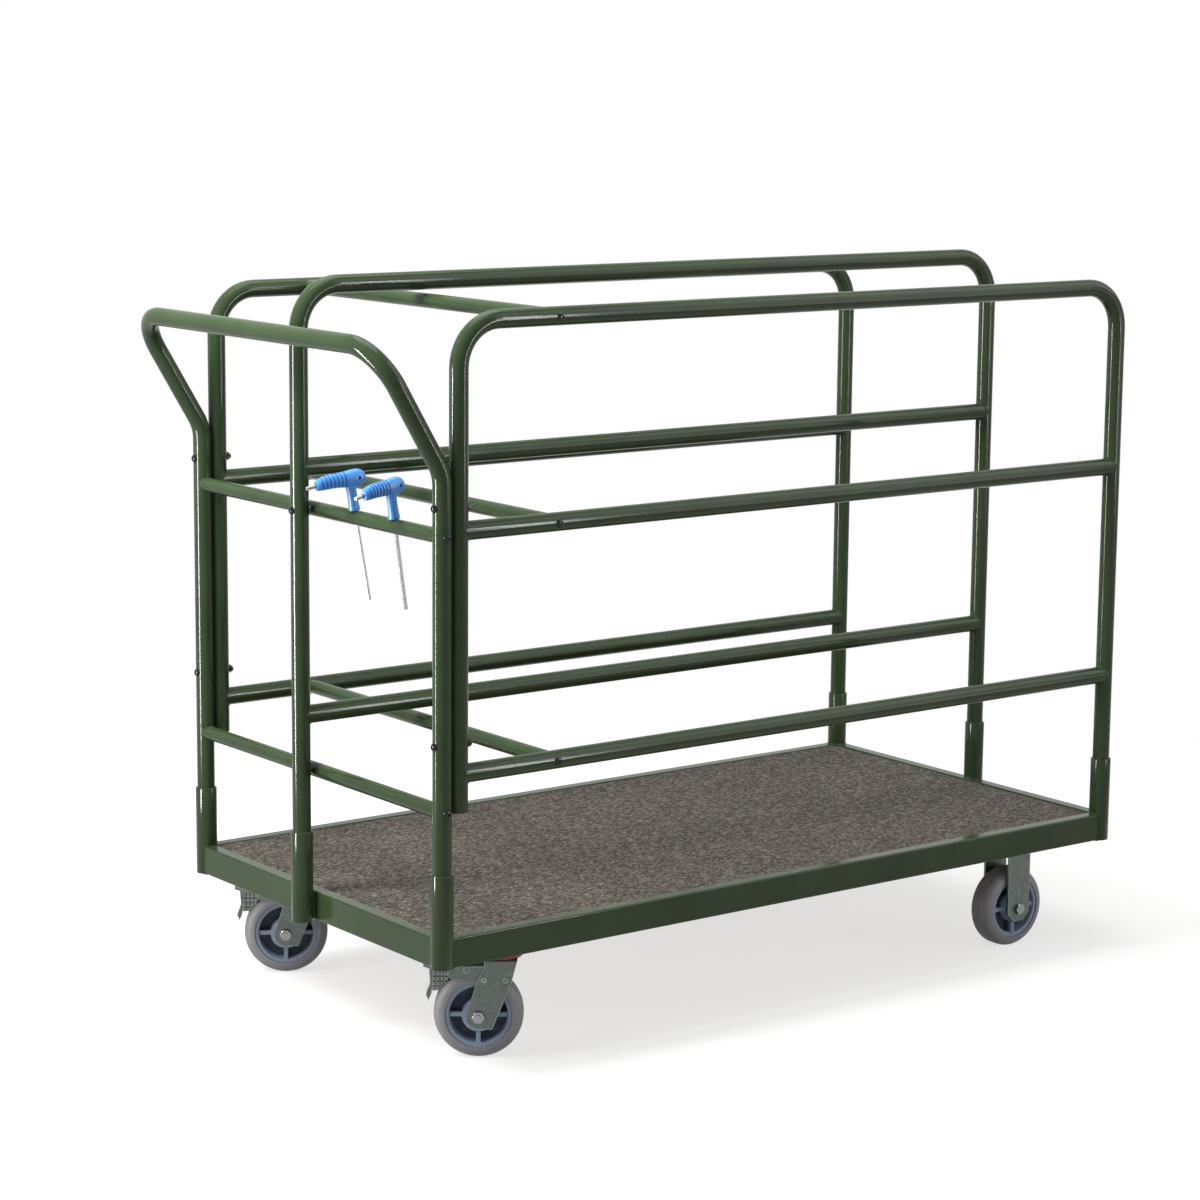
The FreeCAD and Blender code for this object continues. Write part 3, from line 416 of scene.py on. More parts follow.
@dataclass(frozen=True)
class ZincPlate(Finish):
    """Dull zinc plate with a faint olive cast, mottled and finely scratched, with painted shade and grime in
    its creases, and worn bright with a painted highlight at its edges.
    """

    name: str = "zinc_plate"
    light: Colour = srgb(112, 120, 115)
    dark: Colour = srgb(82, 90, 85)
    olive: Colour = srgb(88, 92, 82)
    # Colour of the painted shade and grime in creases and pockets
    shade_and_grime: Colour = srgb(30, 31, 28)
    # Edge colour: partly wear, partly a painted highlight along the outer edges
    worn_and_highlight: Colour = srgb(196, 203, 200)
    roughness: float = 0.26
    grain_depth: float = 0.02 * MM
    shade_and_grime_reach: float = 4.0 * MM
    wear_and_highlight_reach: float = 2.5 * MM

    def lay(self, surface: Surface) -> None:
        """Builds the plate.

        Args:
            surface: The surface to build on.
        """
        place = surface.at()
        spangle = surface.part(surface.cells(place, 130.0).other("Color"), "X")
        cloud = surface.noise(place, 34.0, 4.0, 0.6)
        grain = surface.noise(place, 900.0, 2.0)
        lines = surface.scratches(place, 2, 1.3) | surface.scratches(place, 1, 5.9)
        colour = surface.mix(spangle * 0.35 + cloud * 0.5, self.dark, self.light)
        colour = surface.mix(surface.step(cloud, 0.45, 0.75) * 0.6, colour, self.olive)
        # Painted shade and grime: creases where nearby faces crowd round are darkened
        shade_and_grime = surface.step(surface.creases(self.shade_and_grime_reach), 0.3, 0.8) * 0.7
        colour = surface.mix(shade_and_grime, colour, self.shade_and_grime)
        # Outer edges are lightened, partly as wear and partly as a painted highlight, broken up by the cloud
        wear_and_highlight = surface.step(surface.edges(self.wear_and_highlight_reach), 0.15, 0.55) * (cloud * 1.4 - 0.15)
        colour = surface.mix(wear_and_highlight, colour, self.worn_and_highlight)
        roughness = self.roughness + cloud * 0.14 + spangle * 0.05 - lines * 0.08
        surface.shine(Base_Color=colour, Metallic=0.55, Normal=surface.bump(grain, self.grain_depth),
                      Roughness=roughness, Specular_IOR_Level=0.3)


@dataclass(frozen=True)
class BlackOxide(Finish):
    """Black oxide on screws and nuts, rubbed bright in places."""

    name: str = "black_oxide"
    black: Colour = srgb(20, 20, 21)
    rubbed: Colour = srgb(80, 80, 81)
    roughness: float = 0.12
    grain_depth: float = 0.008 * MM

    def lay(self, surface: Surface) -> None:
        """Builds the oxide.

        Args:
            surface: The surface to build on.
        """
        place = surface.at()
        cloud = surface.noise(place, 240.0, 4.0, 0.6)
        rubbing = surface.step(cloud, 0.6, 0.8)
        grain = surface.noise(place, 1600.0, 1.0)
        surface.shine(Base_Color=surface.mix(rubbing * 0.4, self.black, self.rubbed), Metallic=0.5,
                      Roughness=self.roughness + cloud * 0.16, Normal=surface.bump(grain, self.grain_depth))


@dataclass(frozen=True)
class BrightSteel(Finish):
    """Bright plated steel, drawn along its length."""

    name: str = "bright_steel"
    light: Colour = srgb(150, 152, 152)
    dark: Colour = srgb(112, 114, 114)
    roughness: float = 0.16
    drawn_depth: float = 0.006 * MM

    def lay(self, surface: Surface) -> None:
        """Builds the steel.

        Args:
            surface: The surface to build on.
        """
        place = surface.at()
        drawn = surface.noise(surface.stretched(place, (2600.0, 2600.0, 60.0)), 1.0, 2.0)
        cloud = surface.noise(place, 90.0, 3.0)
        colour = surface.mix(drawn * 0.6 + cloud * 0.4, self.dark, self.light)
        surface.shine(Base_Color=colour, Metallic=0.9, Roughness=self.roughness + cloud * 0.14,
                      Normal=surface.bump(drawn, self.drawn_depth))


@dataclass(frozen=True)
class WheelPlace:
    """Centre and spin axis of one wheel, which its moulded marks follow."""

    centre: Triple
    axis: Triple

    @classmethod
    def of_joint(cls, joint: str) -> "WheelPlace":
        """Reads a wheel's place from its spin joint."""
        found = next(row for row in frame["joints"] if row["name"] == joint)
        return cls(tuple(found["pos_m"]), tuple(found["axis"]))

    def reach_and_width(self, surface: Surface) -> tuple[Term, Term]:
        """Distance from the axle and distance along it.

        Args:
            surface: The surface whose points are measured.

        Returns:
            Distance from the axle and from the wheel's middle plane, in metres.
        """
        offset = surface.vector("SUBTRACT", surface.at(), self.centre)
        width = surface.vector("DOT_PRODUCT", offset, self.axis, "Value")
        length = surface.vector("LENGTH", offset, output="Value")
        return (length * length - width * width) ** 0.5, width


@dataclass(frozen=True)
class MouldedTyre(Finish):
    """Grey rubber tread with mould rings on its flanks, a parting line and a rolled, dusty crown."""

    name: str = "tyre"
    wheel: WheelPlace = WheelPlace((0.0, 0.0, 0.0), (0.0, 1.0, 0.0))
    rubber: Colour = srgb(164, 164, 167)
    deep: Colour = srgb(146, 146, 150)
    rolled: Colour = srgb(170, 169, 167)
    roughness: float = 0.46
    mould_depth: float = 0.12 * MM
    speck_depth: float = 0.05 * MM
    ring_pitch: float = 2.6 * MM
    flank: tuple[float, float] = (20.0 * MM, 24.0 * MM)
    seam: tuple[float, float] = (0.3 * MM, 0.9 * MM)
    crown: tuple[float, float] = (3.0 * MM, 14.0 * MM)

    def lay(self, surface: Surface) -> None:
        """Builds the rubber.

        Args:
            surface: The surface to build on.
        """
        place = surface.at()
        reach, width = self.wheel.reach_and_width(surface)
        cloud = surface.noise(place, 60.0, 5.0, 0.6)
        speck = surface.noise(place, 700.0, 2.0)
        flank = surface.step(abs(width), *self.flank)
        rings = (reach * (2 * math.pi / self.ring_pitch)).sine() * flank
        seam = 1.0 - surface.step(abs(width), *self.seam)
        crown = 1.0 - surface.step(abs(width), *self.crown)
        scuff = crown * surface.step(cloud, 0.4, 0.7)
        colour = surface.mix(cloud, self.deep, self.rubber)
        colour = surface.mix(scuff * 0.55, colour, self.rolled)
        relief = surface.bump(rings * 0.5 + seam * 1.4, self.mould_depth)
        surface.shine(Base_Color=colour, Roughness=self.roughness + cloud * 0.16 + scuff * 0.15,
                      Specular_IOR_Level=0.25, Normal=surface.bump(speck, self.speck_depth, relief))


@dataclass(frozen=True)
class MouldedCore(Finish):
    """Blue-grey moulded wheel core, with a grained skin, painted shade down in its pockets and a little grime.
    """

    name: str = "core"
    wheel: WheelPlace = WheelPlace((0.0, 0.0, 0.0), (0.0, 1.0, 0.0))
    skin: Colour = srgb(140, 156, 179)
    pale: Colour = srgb(158, 174, 196)
    # Colour of the painted shade in the pockets and of the light grime elsewhere
    shade_and_grime: Colour = srgb(12, 16, 21)
    roughness: float = 0.36
    grain_depth: float = 0.03 * MM
    hub: float = 28.0 * MM
    rim: float = 49.0 * MM
    pocket: float = 8.0 * MM
    brow: float = 17.0 * MM
    fade: float = 1.0 * MM

    def lay(self, surface: Surface) -> None:
        """Builds the moulding.

        Args:
            surface: The surface to build on.
        """
        place = surface.at()
        reach, width = self.wheel.reach_and_width(surface)
        cloud = surface.noise(place, 75.0, 4.0)
        grain = surface.noise(place, 1100.0, 2.0)
        past_hub = surface.step(reach, self.hub - self.fade, self.hub)
        past_rim = surface.step(reach, self.rim - self.fade, self.rim)
        # Painted shade: the sunk pockets between hub and rim are darkened; a little random grime is added
        # everywhere
        sunk = (1.0 - surface.step(abs(width), self.pocket, self.brow)) * (past_hub - past_rim)
        shade_and_grime = sunk * (0.7 + cloud * 0.3) | surface.step(cloud, 0.55, 0.8) * 0.15
        colour = surface.mix(shade_and_grime, surface.mix(cloud, self.skin, self.pale), self.shade_and_grime)
        surface.shine(Base_Color=colour, Roughness=self.roughness + cloud * 0.14 + shade_and_grime * 0.2,
                      Specular_IOR_Level=0.3, Normal=surface.bump(grain, self.grain_depth))


@dataclass(frozen=True)
class MouldedGrip(Finish):
    """Bright moulded grip plastic with a fine spark-eroded texture, handling shine and painted shade in its
    grooves.
    """

    name: str = "blue_grip"
    skin: Colour = srgb(64, 148, 238)
    pale: Colour = srgb(84, 164, 246)
    # Colour of the painted shade in the grooves
    deep: Colour = srgb(20, 80, 165)
    roughness: float = 0.3
    grain_depth: float = 0.02 * MM
    groove_shade_reach: float = 3.0 * MM

    def lay(self, surface: Surface) -> None:
        """Builds the plastic.

        Args:
            surface: The surface to build on.
        """
        place = surface.at()
        cloud = surface.noise(place, 110.0, 3.0)
        grain = surface.cells(place, 1500.0)
        # Painted shade: grooves where nearby faces crowd round are darkened towards the deep colour
        groove_shade = surface.step(surface.creases(self.groove_shade_reach), 0.12, 0.5)
        colour = surface.mix(groove_shade * 0.7, surface.mix(cloud, self.skin, self.pale), self.deep)
        surface.shine(Base_Color=colour, Roughness=self.roughness + cloud * 0.16,
                      Normal=surface.bump(grain, self.grain_depth))


@dataclass(frozen=True)
class SealPlastic(Finish):
    """Red seal ring with a film of old grease."""

    name: str = "red_seal"
    skin: Colour = srgb(158, 38, 30)
    greased: Colour = srgb(72, 34, 26)
    roughness: float = 0.38
    grain_depth: float = 0.02 * MM

    def lay(self, surface: Surface) -> None:
        """Builds the plastic.

        Args:
            surface: The surface to build on.
        """
        place = surface.at()
        cloud = surface.noise(place, 130.0, 4.0)
        grease = surface.step(cloud, 0.5, 0.72) * 0.5
        grain = surface.noise(place, 900.0, 2.0)
        surface.shine(Base_Color=surface.mix(grease, self.skin, self.greased),
                      Roughness=self.roughness - grease * 0.2, Normal=surface.bump(grain, self.grain_depth))


@dataclass(frozen=True)
class Plywood(Finish):
    """Plywood with its plies on the sawn edges and drawn grain on the faces."""

    name: str = "plywood"
    face: Colour = srgb(196, 164, 120)
    late: Colour = srgb(160, 122, 80)
    end_ply: Colour = srgb(128, 92, 60)
    ply: float = 2.7 * MM
    roughness: float = 0.6
    pore_depth: float = 0.05 * MM

    def lay(self, surface: Surface) -> None:
        """Builds the wood.

        Args:
            surface: The surface to build on.
        """
        place = surface.at()
        waver = surface.noise(place, 5.0, 3.0)
        figure = surface.noise(surface.stretched(place, (2.2, 34.0, 34.0)), 1.0, 5.0, 0.6)
        bands = surface.step((figure * 22.0 + waver * 6.0).sine(), -0.5, 0.9)
        pores = surface.noise(surface.stretched(place, (60.0, 1400.0, 1400.0)), 1.0, 2.0)
        plies = surface.step((surface.part(place, "Z") * (math.pi / self.ply)).sine(), -0.15, 0.15)
        edge = 1.0 - surface.step(abs(surface.part(surface.at(Coordinates.FACING), "Z")), 0.4, 0.8)
        colour = surface.mix(bands * 0.55, self.face, self.late)
        colour = surface.mix(edge * plies * 0.8, colour, self.end_ply)
        surface.shine(Base_Color=colour, Roughness=self.roughness + pores * 0.2,
                      Normal=surface.bump(pores, self.pore_depth))


@dataclass(frozen=True)
class LoopCarpet(Finish):
    """Heathered loop-pile carpet: rows of small yarn loops in several greys and browns, with painted shade in
    the hollows between them.
    """

    name: str = "carpet"
    shades: tuple[tuple[float, Colour], ...] = (
        (0.0, srgb(34, 31, 27)), (0.28, srgb(66, 61, 54)), (0.52, srgb(97, 90, 81)),
        (0.78, srgb(130, 121, 110)), (1.0, srgb(166, 156, 144)))
    loop: float = 4.6 * MM
    straying: Triple = (4.0 * MM, 4.0 * MM, 0.0)
    roughness: float = 0.96
    pile_depth: float = 1.6 * MM
    fibre_depth: float = 0.25 * MM

    def lay(self, surface: Surface) -> None:
        """Builds the pile.

        Args:
            surface: The surface to build on.
        """
        place = surface.at()
        waver = surface.noise(place, 70.0).other("Color")
        shifted = surface.node("ShaderNodeVectorMath", {"operation": "MULTIPLY_ADD"},
                               {0: waver, 1: self.straying, 2: place})
        loops = surface.cells(surface.stretched(shifted, (0.8, 1.25, 1.0)), 1 / self.loop)
        yarn = surface.part(loops.other("Color"), "X")
        heather = surface.noise(surface.stretched(place, (45.0, 110.0, 45.0)), 1.0, 4.0, 0.65)
        tread = surface.noise(place, 4.0, 3.0)
        fibre = surface.noise(place, 2400.0, 3.0, 0.7)
        shade = yarn * 0.8 + heather * 0.5 + fibre * 0.16 + tread * 0.12 - 0.3
        # Painted shade: the hollows between the loops are darkened towards the darkest shade
        hollow_shade = surface.step(loops, 0.35, 0.75)
        colour = surface.mix(hollow_shade * 0.5, surface.ramp(shade, self.shades), self.shades[0][1])
        pile = surface.bump(1.0 - loops, self.pile_depth)
        surface.shine(Base_Color=colour, Roughness=self.roughness - fibre * 0.08, Specular_IOR_Level=0.12,
                      Sheen_Weight=0.12, Sheen_Roughness=0.5,
                      Normal=surface.bump(fibre, self.fibre_depth, pile))


PAINT = GlossPaint()
ZINC = ZincPlate()
OXIDE = BlackOxide()
STEEL = BrightSteel()
BLADE_STEEL = BrightSteel("blade_steel", light=srgb(164, 165, 165), dark=srgb(124, 125, 125), roughness=0.3)


class Maker:
    """Gathers points and faces into one mesh piece."""

    def __init__(self) -> None:
        """Starts with nothing."""
        self.points: list[Vector] = []
        self.faces: list[tuple[int, ...]] = []

    def add_rings(self, rings: Sequence[Sequence[Vector]], closed: bool) -> None:
        """Skins rings of equal count into a tube.

        Args:
            rings: The rings in order along the tube.
            closed: Whether the last ring joins the first; open ends are capped.
        """
        start = len(self.points)
        count = len(rings[0])
        for ring in rings:
            self.points.extend(ring)
        spans = len(rings) if closed else len(rings) - 1
        for row in range(spans):
            here = start + row * count
            there = start + (row + 1) % len(rings) * count
            for k in range(count):
                after = (k + 1) % count
                self.faces.append((here + k, here + after, there + after, there + k))
        if not closed:
            self.faces.append(tuple(start + k for k in reversed(range(count))))
            self.faces.append(tuple(start + spans * count + k for k in range(count)))

    def piece(self, name: str, finish: Finish, body: str) -> bpy.types.Object:
        """Makes the mesh object, shaded smooth, dressed and riding on a body.

        Args:
            name: Name of the piece.
            finish: Its finish.
            body: CAD body that it moves with.

        Returns:
            The new object.
        """
        mesh = bpy.data.meshes.new(name)
        mesh.from_pydata(self.points, [], self.faces)
        mesh.polygons.foreach_set("use_smooth", [True] * len(mesh.polygons))
        mesh.materials.append(finish.material())
        mesh.update()
        made = bpy.data.objects.new(name, mesh)
        bpy.context.scene.collection.objects.link(made)
        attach(made, body)
        log.info("piece %s: %d faces on %s", name, len(self.faces), body)
        return made


def dress(node: str, finish: Finish, edge: Optional[EdgeBreak] = None) -> None:
    """Gives a CAD node its finish, and breaks its edges with modifiers.

    Args:
        node: Name of the node.
        finish: Its finish.
        edge: How far its edges are broken; none for edges that are left as they are.
    """
    shown = frame["nodes"][node]
    for slot in shown.material_slots:
        slot.material = finish.material()
    if edge is not None:
        weld = shown.modifiers.new("joined_faces", "WELD")
        weld.merge_threshold = MERGE_WITHIN
        bevel = shown.modifiers.new("broken_edges", "BEVEL")
        bevel.width = edge.value
        bevel.segments = BREAK_STEPS
        bevel.limit_method = "ANGLE"
        bevel.angle_limit = BREAK_ANGLE
        bevel.harden_normals = True
    log.info("node %s: %s", node, finish.name)


def dress_wheel(word: str) -> None:
    """Gives a wheel's tyre and core finishes that follow its own axle.

    Args:
        word: First words of the wheel's node and joint names.
    """
    wheel = WheelPlace.of_joint(word + "_wheel_spin")
    dress(word + "_tyre", MouldedTyre(name=word + "_tyre", wheel=wheel))
    dress(word + "_core", MouldedCore(name=word + "_core", wheel=wheel), EdgeBreak.MOULDED)


class SubAssembly(ABC):
    """A group of pieces that is built and dressed together."""

    @abstractmethod
    def build(self) -> None:
        """Builds the group's own meshes and dresses its nodes."""


@dataclass(frozen=True)
class SeamPoint:
    """One point of a weld seam, with the way the bead stands out and its share of the full size."""

    place: Vector
    out: Vector
    share: float = 1.0


@dataclass
class WeldBead:
    """Rippled weld bead along a seam."""

    seam: Sequence[SeamPoint]
    closed: bool = False
    radius: float = 2.6 * MM
    pitch: float = 3.0 * MM
    around: int = 10
    flatness: float = 0.62
    ripple: float = 0.16
    ripple_points: int = 4
    least_ripples: int = 2

    def build(self, maker: Maker) -> None:
        """Adds the bead to a mesh.

        Args:
            maker: The mesh under construction.
        """
        points = self._evenly_spaced()
        count = len(points)
        rings = []
        for k, point in enumerate(points):
            before = points[(k - 1) % count] if self.closed or k else point
            after = points[(k + 1) % count] if self.closed or k + 1 < count else point
            along = (after.place - before.place).normalized()
            out = (point.out - along * point.out.dot(along)).normalized()
            across = along.cross(out)
            scallop = 1 - self.ripple + self.ripple * abs(math.sin(math.pi * k / self.ripple_points))
            size = self.radius * point.share * scallop
            ring = []
            for turn in range(self.around):
                angle = 2 * math.pi * turn / self.around
                rise = out * (size * self.flatness * math.cos(angle))
                ring.append(point.place + rise + across * (size * math.sin(angle)))
            rings.append(ring)
        maker.add_rings(rings, self.closed)

    def _evenly_spaced(self) -> list[SeamPoint]:
        """Spaces the seam's points evenly, with a whole number of ripples along it.

        Returns:
            The spaced points.
        """
        corners = list(self.seam) + ([self.seam[0]] if self.closed else [])
        lengths = [(b.place - a.place).length for a, b in zip(corners, corners[1:])]
        total = sum(lengths)
        steps = max(self.least_ripples, round(total / self.pitch)) * self.ripple_points
        spaced = []
        index = 0
        passed = 0.0
        for k in range(steps if self.closed else steps + 1):
            goal = total * k / steps
            while index < len(lengths) - 1 and passed + lengths[index] < goal:
                passed += lengths[index]
                index += 1
            share = min(1.0, (goal - passed) / lengths[index])
            first, second = corners[index], corners[index + 1]
            out = first.out.lerp(second.out, share).normalized()
            spaced.append(SeamPoint(first.place.lerp(second.place, share), out,
                                    first.share + (second.share - first.share) * share))
        return spaced


@dataclass
class HoopFrame(SubAssembly):
    """Handle, side hoops, divider and cross bars, with the beads that weld the long rails to their posts."""

    post_radius: float = POST_RADIUS
    side_y: float = POST_Y
    near_post_x: float = -POST_X + 2 * POST_RADIUS + SEAT_GAP
    far_post_x: float = POST_X
    divider_x: float = POST_X + RAIL_HALF + SOCKET_RADIUS
    side_rail_heights: tuple[float, float] = (DECK_LOW + 721.0 * MM, DECK_LOW + 321.5 * MM)
    divider_rail_heights: tuple[float, float] = (DECK_LOW + 787.5 * MM, DECK_LOW + 361.5 * MM)
    blunt: float = 1.6 * MM
    seam_points: int = 72
    least_share: float = 0.45

    def build(self) -> None:
        """Dresses the tubes and lays the weld beads."""
        for side in Side:
            dress(side.word + "_hoop", PAINT)
            dress(side.word + "_hoop_rails", PAINT)
            maker = Maker()
            for height in self.side_rail_heights:
                y = side.value * self.side_y
                self._weld_rail(maker, self.near_post_x, self.far_post_x, y, height)
            maker.piece(side.word + "_hoop_welds", PAINT, "cart")
        maker = Maker()
        for height in self.divider_rail_heights:
            self._weld_rail(maker, -self.divider_x, self.divider_x, 0.0, height)
        maker.piece("divider_welds", PAINT, "cart")
        for node in ("handle_frame", "handle_mid_rail", "handle_lower_rail", "divider_hoop", "divider_rails",
                     "cross_bars"):
            dress(node, PAINT)

    def _weld_rail(self, maker: Maker, near: float, far: float, y: float, height: float) -> None:
        """Lays the two saddle beads of one rail."""
        for x, way in ((near, 1.0), (far, -1.0)):
            WeldBead(self._saddle(Vector((x, y, height)), Vector((way, 0.0, 0.0))), True).build(maker)

    def _saddle(self, centre: Vector, along: Vector) -> list[SeamPoint]:
        """Seam where a rail's end is saddled on an upright post.

        Args:
            centre: Point where the axes of rail and post cross.
            along: Way the rail leaves the post.

        Returns:
            The seam's points.
        """
        across = along.cross(UP)
        radius = self.post_radius
        seam = []
        for k in range(self.seam_points):
            turn = 2 * math.pi * k / self.seam_points
            reach = math.hypot(radius * math.cos(turn), self.blunt)
            off_post = along * reach + across * (radius * math.sin(turn))
            off_rail = across * math.sin(turn) + UP * math.cos(turn)
            out = (off_post.normalized() + off_rail).normalized()
            place = centre + off_post + UP * (radius * math.cos(turn))
            share = self.least_share + (1 - self.least_share) * abs(math.cos(turn))
            seam.append(SeamPoint(place, out, share))
        return seam


@dataclass
class CarpetSheet(SubAssembly):
    """The carpet cut to the deck between the frame rails, laid flat on the board."""

    half_length: float = POST_X - RAIL_HALF - CARPET_GAP
    half_width: float = POST_Y - RAIL_HALF - CARPET_GAP
    corner: float = 10.0 * MM
    low: float = DECK_LOW + 44.5 * MM
    thickness: float = 4.9 * MM
    swell: float = 0.35 * MM
    rounding: float = 1.8 * MM
    cells_long: int = 150
    cells_wide: int = 74
    cells_corner: int = 2
    inner_rings: int = 18
    first_share: float = 0.05
    inner_span: float = 0.9
    rim_shares: tuple[float, ...] = (0.975, 0.99, 0.996, 0.999, 1.0)
    waves: tuple[float, float] = (9.0, 13.0)
    wave_shift: float = 0.7

    def build(self) -> None:
        maker = Maker()
        rim = self._outline()
        rings = [[Vector((p.x, p.y, self.low)) for p in rim]]
        for share in reversed(self._shares()):
            row = [p * share for p in rim]
            rings.append([Vector((p.x, p.y, self._height(p, share))) for p in row])
        maker.add_rings(rings, False)
        carpet = maker.piece("carpet_sheet", LoopCarpet(), "cart")
        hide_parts("deck_carpet")

    def _outline(self) -> list[Vector]:
        """Spaces points round the cut edge, evenly on each side.

        Returns:
            The points, at height 0.
        """
        long, wide, cut = self.half_length, self.half_width, self.corner
        corners = [(-long + cut, -wide), (long - cut, -wide), (long, -wide + cut), (long, wide - cut),
                   (long - cut, wide), (-long + cut, wide), (-long, wide - cut), (-long, -wide + cut)]
        counts = [self.cells_long, self.cells_corner, self.cells_wide, self.cells_corner] * 2
        points = []
        for (x0, y0), (x1, y1), count in zip(corners, corners[1:] + corners[:1], counts):
            for k in range(count):
                share = k / count
                points.append(Vector((x0 + (x1 - x0) * share, y0 + (y1 - y0) * share, 0.0)))
        return points

    def _shares(self) -> list[float]:
        """Rings from the middle of the sheet out to its rim, close together at the rim."""
        steps = [self.inner_span * k / self.inner_rings for k in range(self.inner_rings + 1)]
        return [self.first_share + step for step in steps] + list(self.rim_shares)

    def _height(self, point: Vector, share: float) -> float:
        """Finds the top of the pile, which is rounded over at the cut edge.

        Args:
            point: The point, seen from above.
            share: How far out it lies from the middle to the rim, from 0 to 1.

        Returns:
            Height of the top.
        """
        along, across = self.waves
        swell = math.sin(point.x * along) * math.sin(point.y * across + self.wave_shift) * self.swell
        edge = (1.0 - share) * self.half_width
        drop = self.rounding * max(0.0, 1.0 - edge / self.rounding) ** 2
        return self.low + self.thickness - self.swell + swell - drop


@dataclass
class DeckFrame(SubAssembly):
    """Deck rails, cross members, board, sockets and carpet, with the beads that join the frame."""

    half_length: float = POST_X
    half_width: float = POST_Y
    low: float = DECK_LOW
    rail_height: float = 50.8 * MM
    rail_half: float = RAIL_HALF
    member_height: float = 25.4 * MM
    socket_radius: float = SOCKET_RADIUS
    member_places: tuple[float, ...] = (
        -631.1 * MM, -554.9 * MM, -200.0 * MM, 200.0 * MM, 551.9 * MM, 628.1 * MM)
    rail_bead: float = 2.1 * MM
    divider_bead: float = 2.8 * MM
    member_bead: float = 2.2 * MM
    bead_share: float = 0.9
    level_steps: int = 8
    upright_steps: int = 16
    divider_seam_y: float = 7.5 * MM
    divider_seam_proud: float = 0.7 * MM
    divider_seam_inset: float = 2.0 * MM
    divider_seam_lean: float = 0.35
    divider_seam_steps: int = 10
    carpet: CarpetSheet = field(default_factory=CarpetSheet)

    def build(self) -> None:
        """Dresses the frame, welds it and lays the carpet."""
        for node in ("front_deck_rail", "back_deck_rail", "handle_end_deck_rail", "far_end_deck_rail",
                     "deck_cross_members"):
            dress(node, PAINT)
        for node in ("corner_sockets", "divider_sockets"):
            dress(node, PAINT, EdgeBreak.SHEET)
        dress("deck_board", Plywood(), EdgeBreak.SAWN)
        maker = Maker()
        for x in (-self.half_length, self.half_length):
            for y in (-self.half_width, self.half_width):
                centre = Vector((x, y, 0.0))
                for along in (Vector((-math.copysign(1, x), 0, 0)), Vector((0, -math.copysign(1, y), 0))):
                    WeldBead(self._rail_seam(centre, along), True, radius=self.rail_bead).build(maker)
            for side in Side:
                WeldBead(self._divider_seam(x, side), radius=self.divider_bead).build(maker)
        for x in self.member_places:
            for side in Side:
                WeldBead(self._member_seam(x, side), radius=self.member_bead).build(maker)
        maker.piece("deck_welds", PAINT, "cart")
        self.carpet.build()

    def _rail_seam(self, centre: Vector, along: Vector) -> list[SeamPoint]:
        """Seam where a deck rail ends on a round socket.

        Args:
            centre: Foot of the socket's axis.
            along: Way the rail leaves the socket.

        Returns:
            The seam's points, once round the rail.
        """
        across = UP.cross(along)
        half, radius = self.rail_half, self.socket_radius
        high = self.low + self.rail_height
        seam = []

        def point(offset: float, height: float, face: Vector) -> None:
            """Adds a point where the rail's skin meets the socket.

            Args:
                offset: Distance to the side of the rail's middle.
                height: Height over the floor.
                face: Way that the rail's face looks there.
            """
            reach = math.sqrt(radius ** 2 - offset ** 2)
            off = along * reach + across * offset
            out = (off.normalized() + face).normalized()
            seam.append(SeamPoint(centre + off + UP * height, out, self.bead_share))

        level = [2 * half * k / self.level_steps for k in range(self.level_steps + 1)]
        upright = [self.rail_height * k / self.upright_steps for k in range(1, self.upright_steps)]
        for step in level:
            point(-half + step, self.low, -UP)
        for step in upright:
            point(half, self.low + step, across)
        for step in level:
            point(half - step, high, UP)
        for step in upright:
            point(-half, high - step, -across)
        return seam

    def _divider_seam(self, x: float, side: Side) -> list[SeamPoint]:
        """Upright seam between a divider socket and the outer face of an end rail.

        Args:
            x: Place of the end rail's middle.
            side: Side of the socket that the seam is on.

        Returns:
            The seam's points, from its foot up.
        """
        way = math.copysign(1.0, x)
        offset = side.value * self.divider_seam_y
        place = Vector((x + way * (self.rail_half + self.divider_seam_proud), offset, 0.0))
        out = Vector((way * self.divider_seam_lean, side.value, 0.0)).normalized()
        inset, steps = self.divider_seam_inset, self.divider_seam_steps
        low, high = self.low + inset, self.low + self.rail_height - inset
        heights = [low + (high - low) * k / steps for k in range(steps + 1)]
        return [SeamPoint(place + UP * height, out) for height in heights]

    def _member_seam(self, x: float, side: Side) -> list[SeamPoint]:
        """Seam round three sides of a cross member's end on the inner face of a side rail.

        Args:
            x: Place of the member's middle.
            side: Side of the cart that the end is on.

        Returns:
            The seam's points.
        """
        y = side.value * (self.half_width - self.rail_half)
        inward = Vector((0.0, -side.value, 0.0))
        half = self.rail_half
        high = self.low + self.member_height
        ends = [(-half, high, Vector((-1, 0, 0))), (-half, self.low, Vector((-1, 0, -1))),
                (half, self.low, Vector((1, 0, -1))), (half, high, Vector((1, 0, 0)))]
        return [SeamPoint(Vector((x + dx, y, z)), (way + inward).normalized(), self.bead_share)
                for dx, z, way in ends]


@dataclass
class Fasteners(SubAssembly):
    """Dark frame bolts and cap nuts, and the plated divider spacer, caster bolts and weld nuts."""

    dark: tuple[str, ...] = (
        "hoop_bolts", "hoop_cap_nuts", "end_rail_bolts", "cross_bar_bolts", "divider_bolt")
    plated: tuple[str, ...] = ("divider_spacer", "caster_bolts", "caster_weld_nuts")

    def build(self) -> None:
        """Dresses the fasteners."""
        for node in self.dark:
            dress(node, OXIDE, EdgeBreak.SHEET)
        for node in self.plated:
            dress(node, ZINC, EdgeBreak.SHEET)


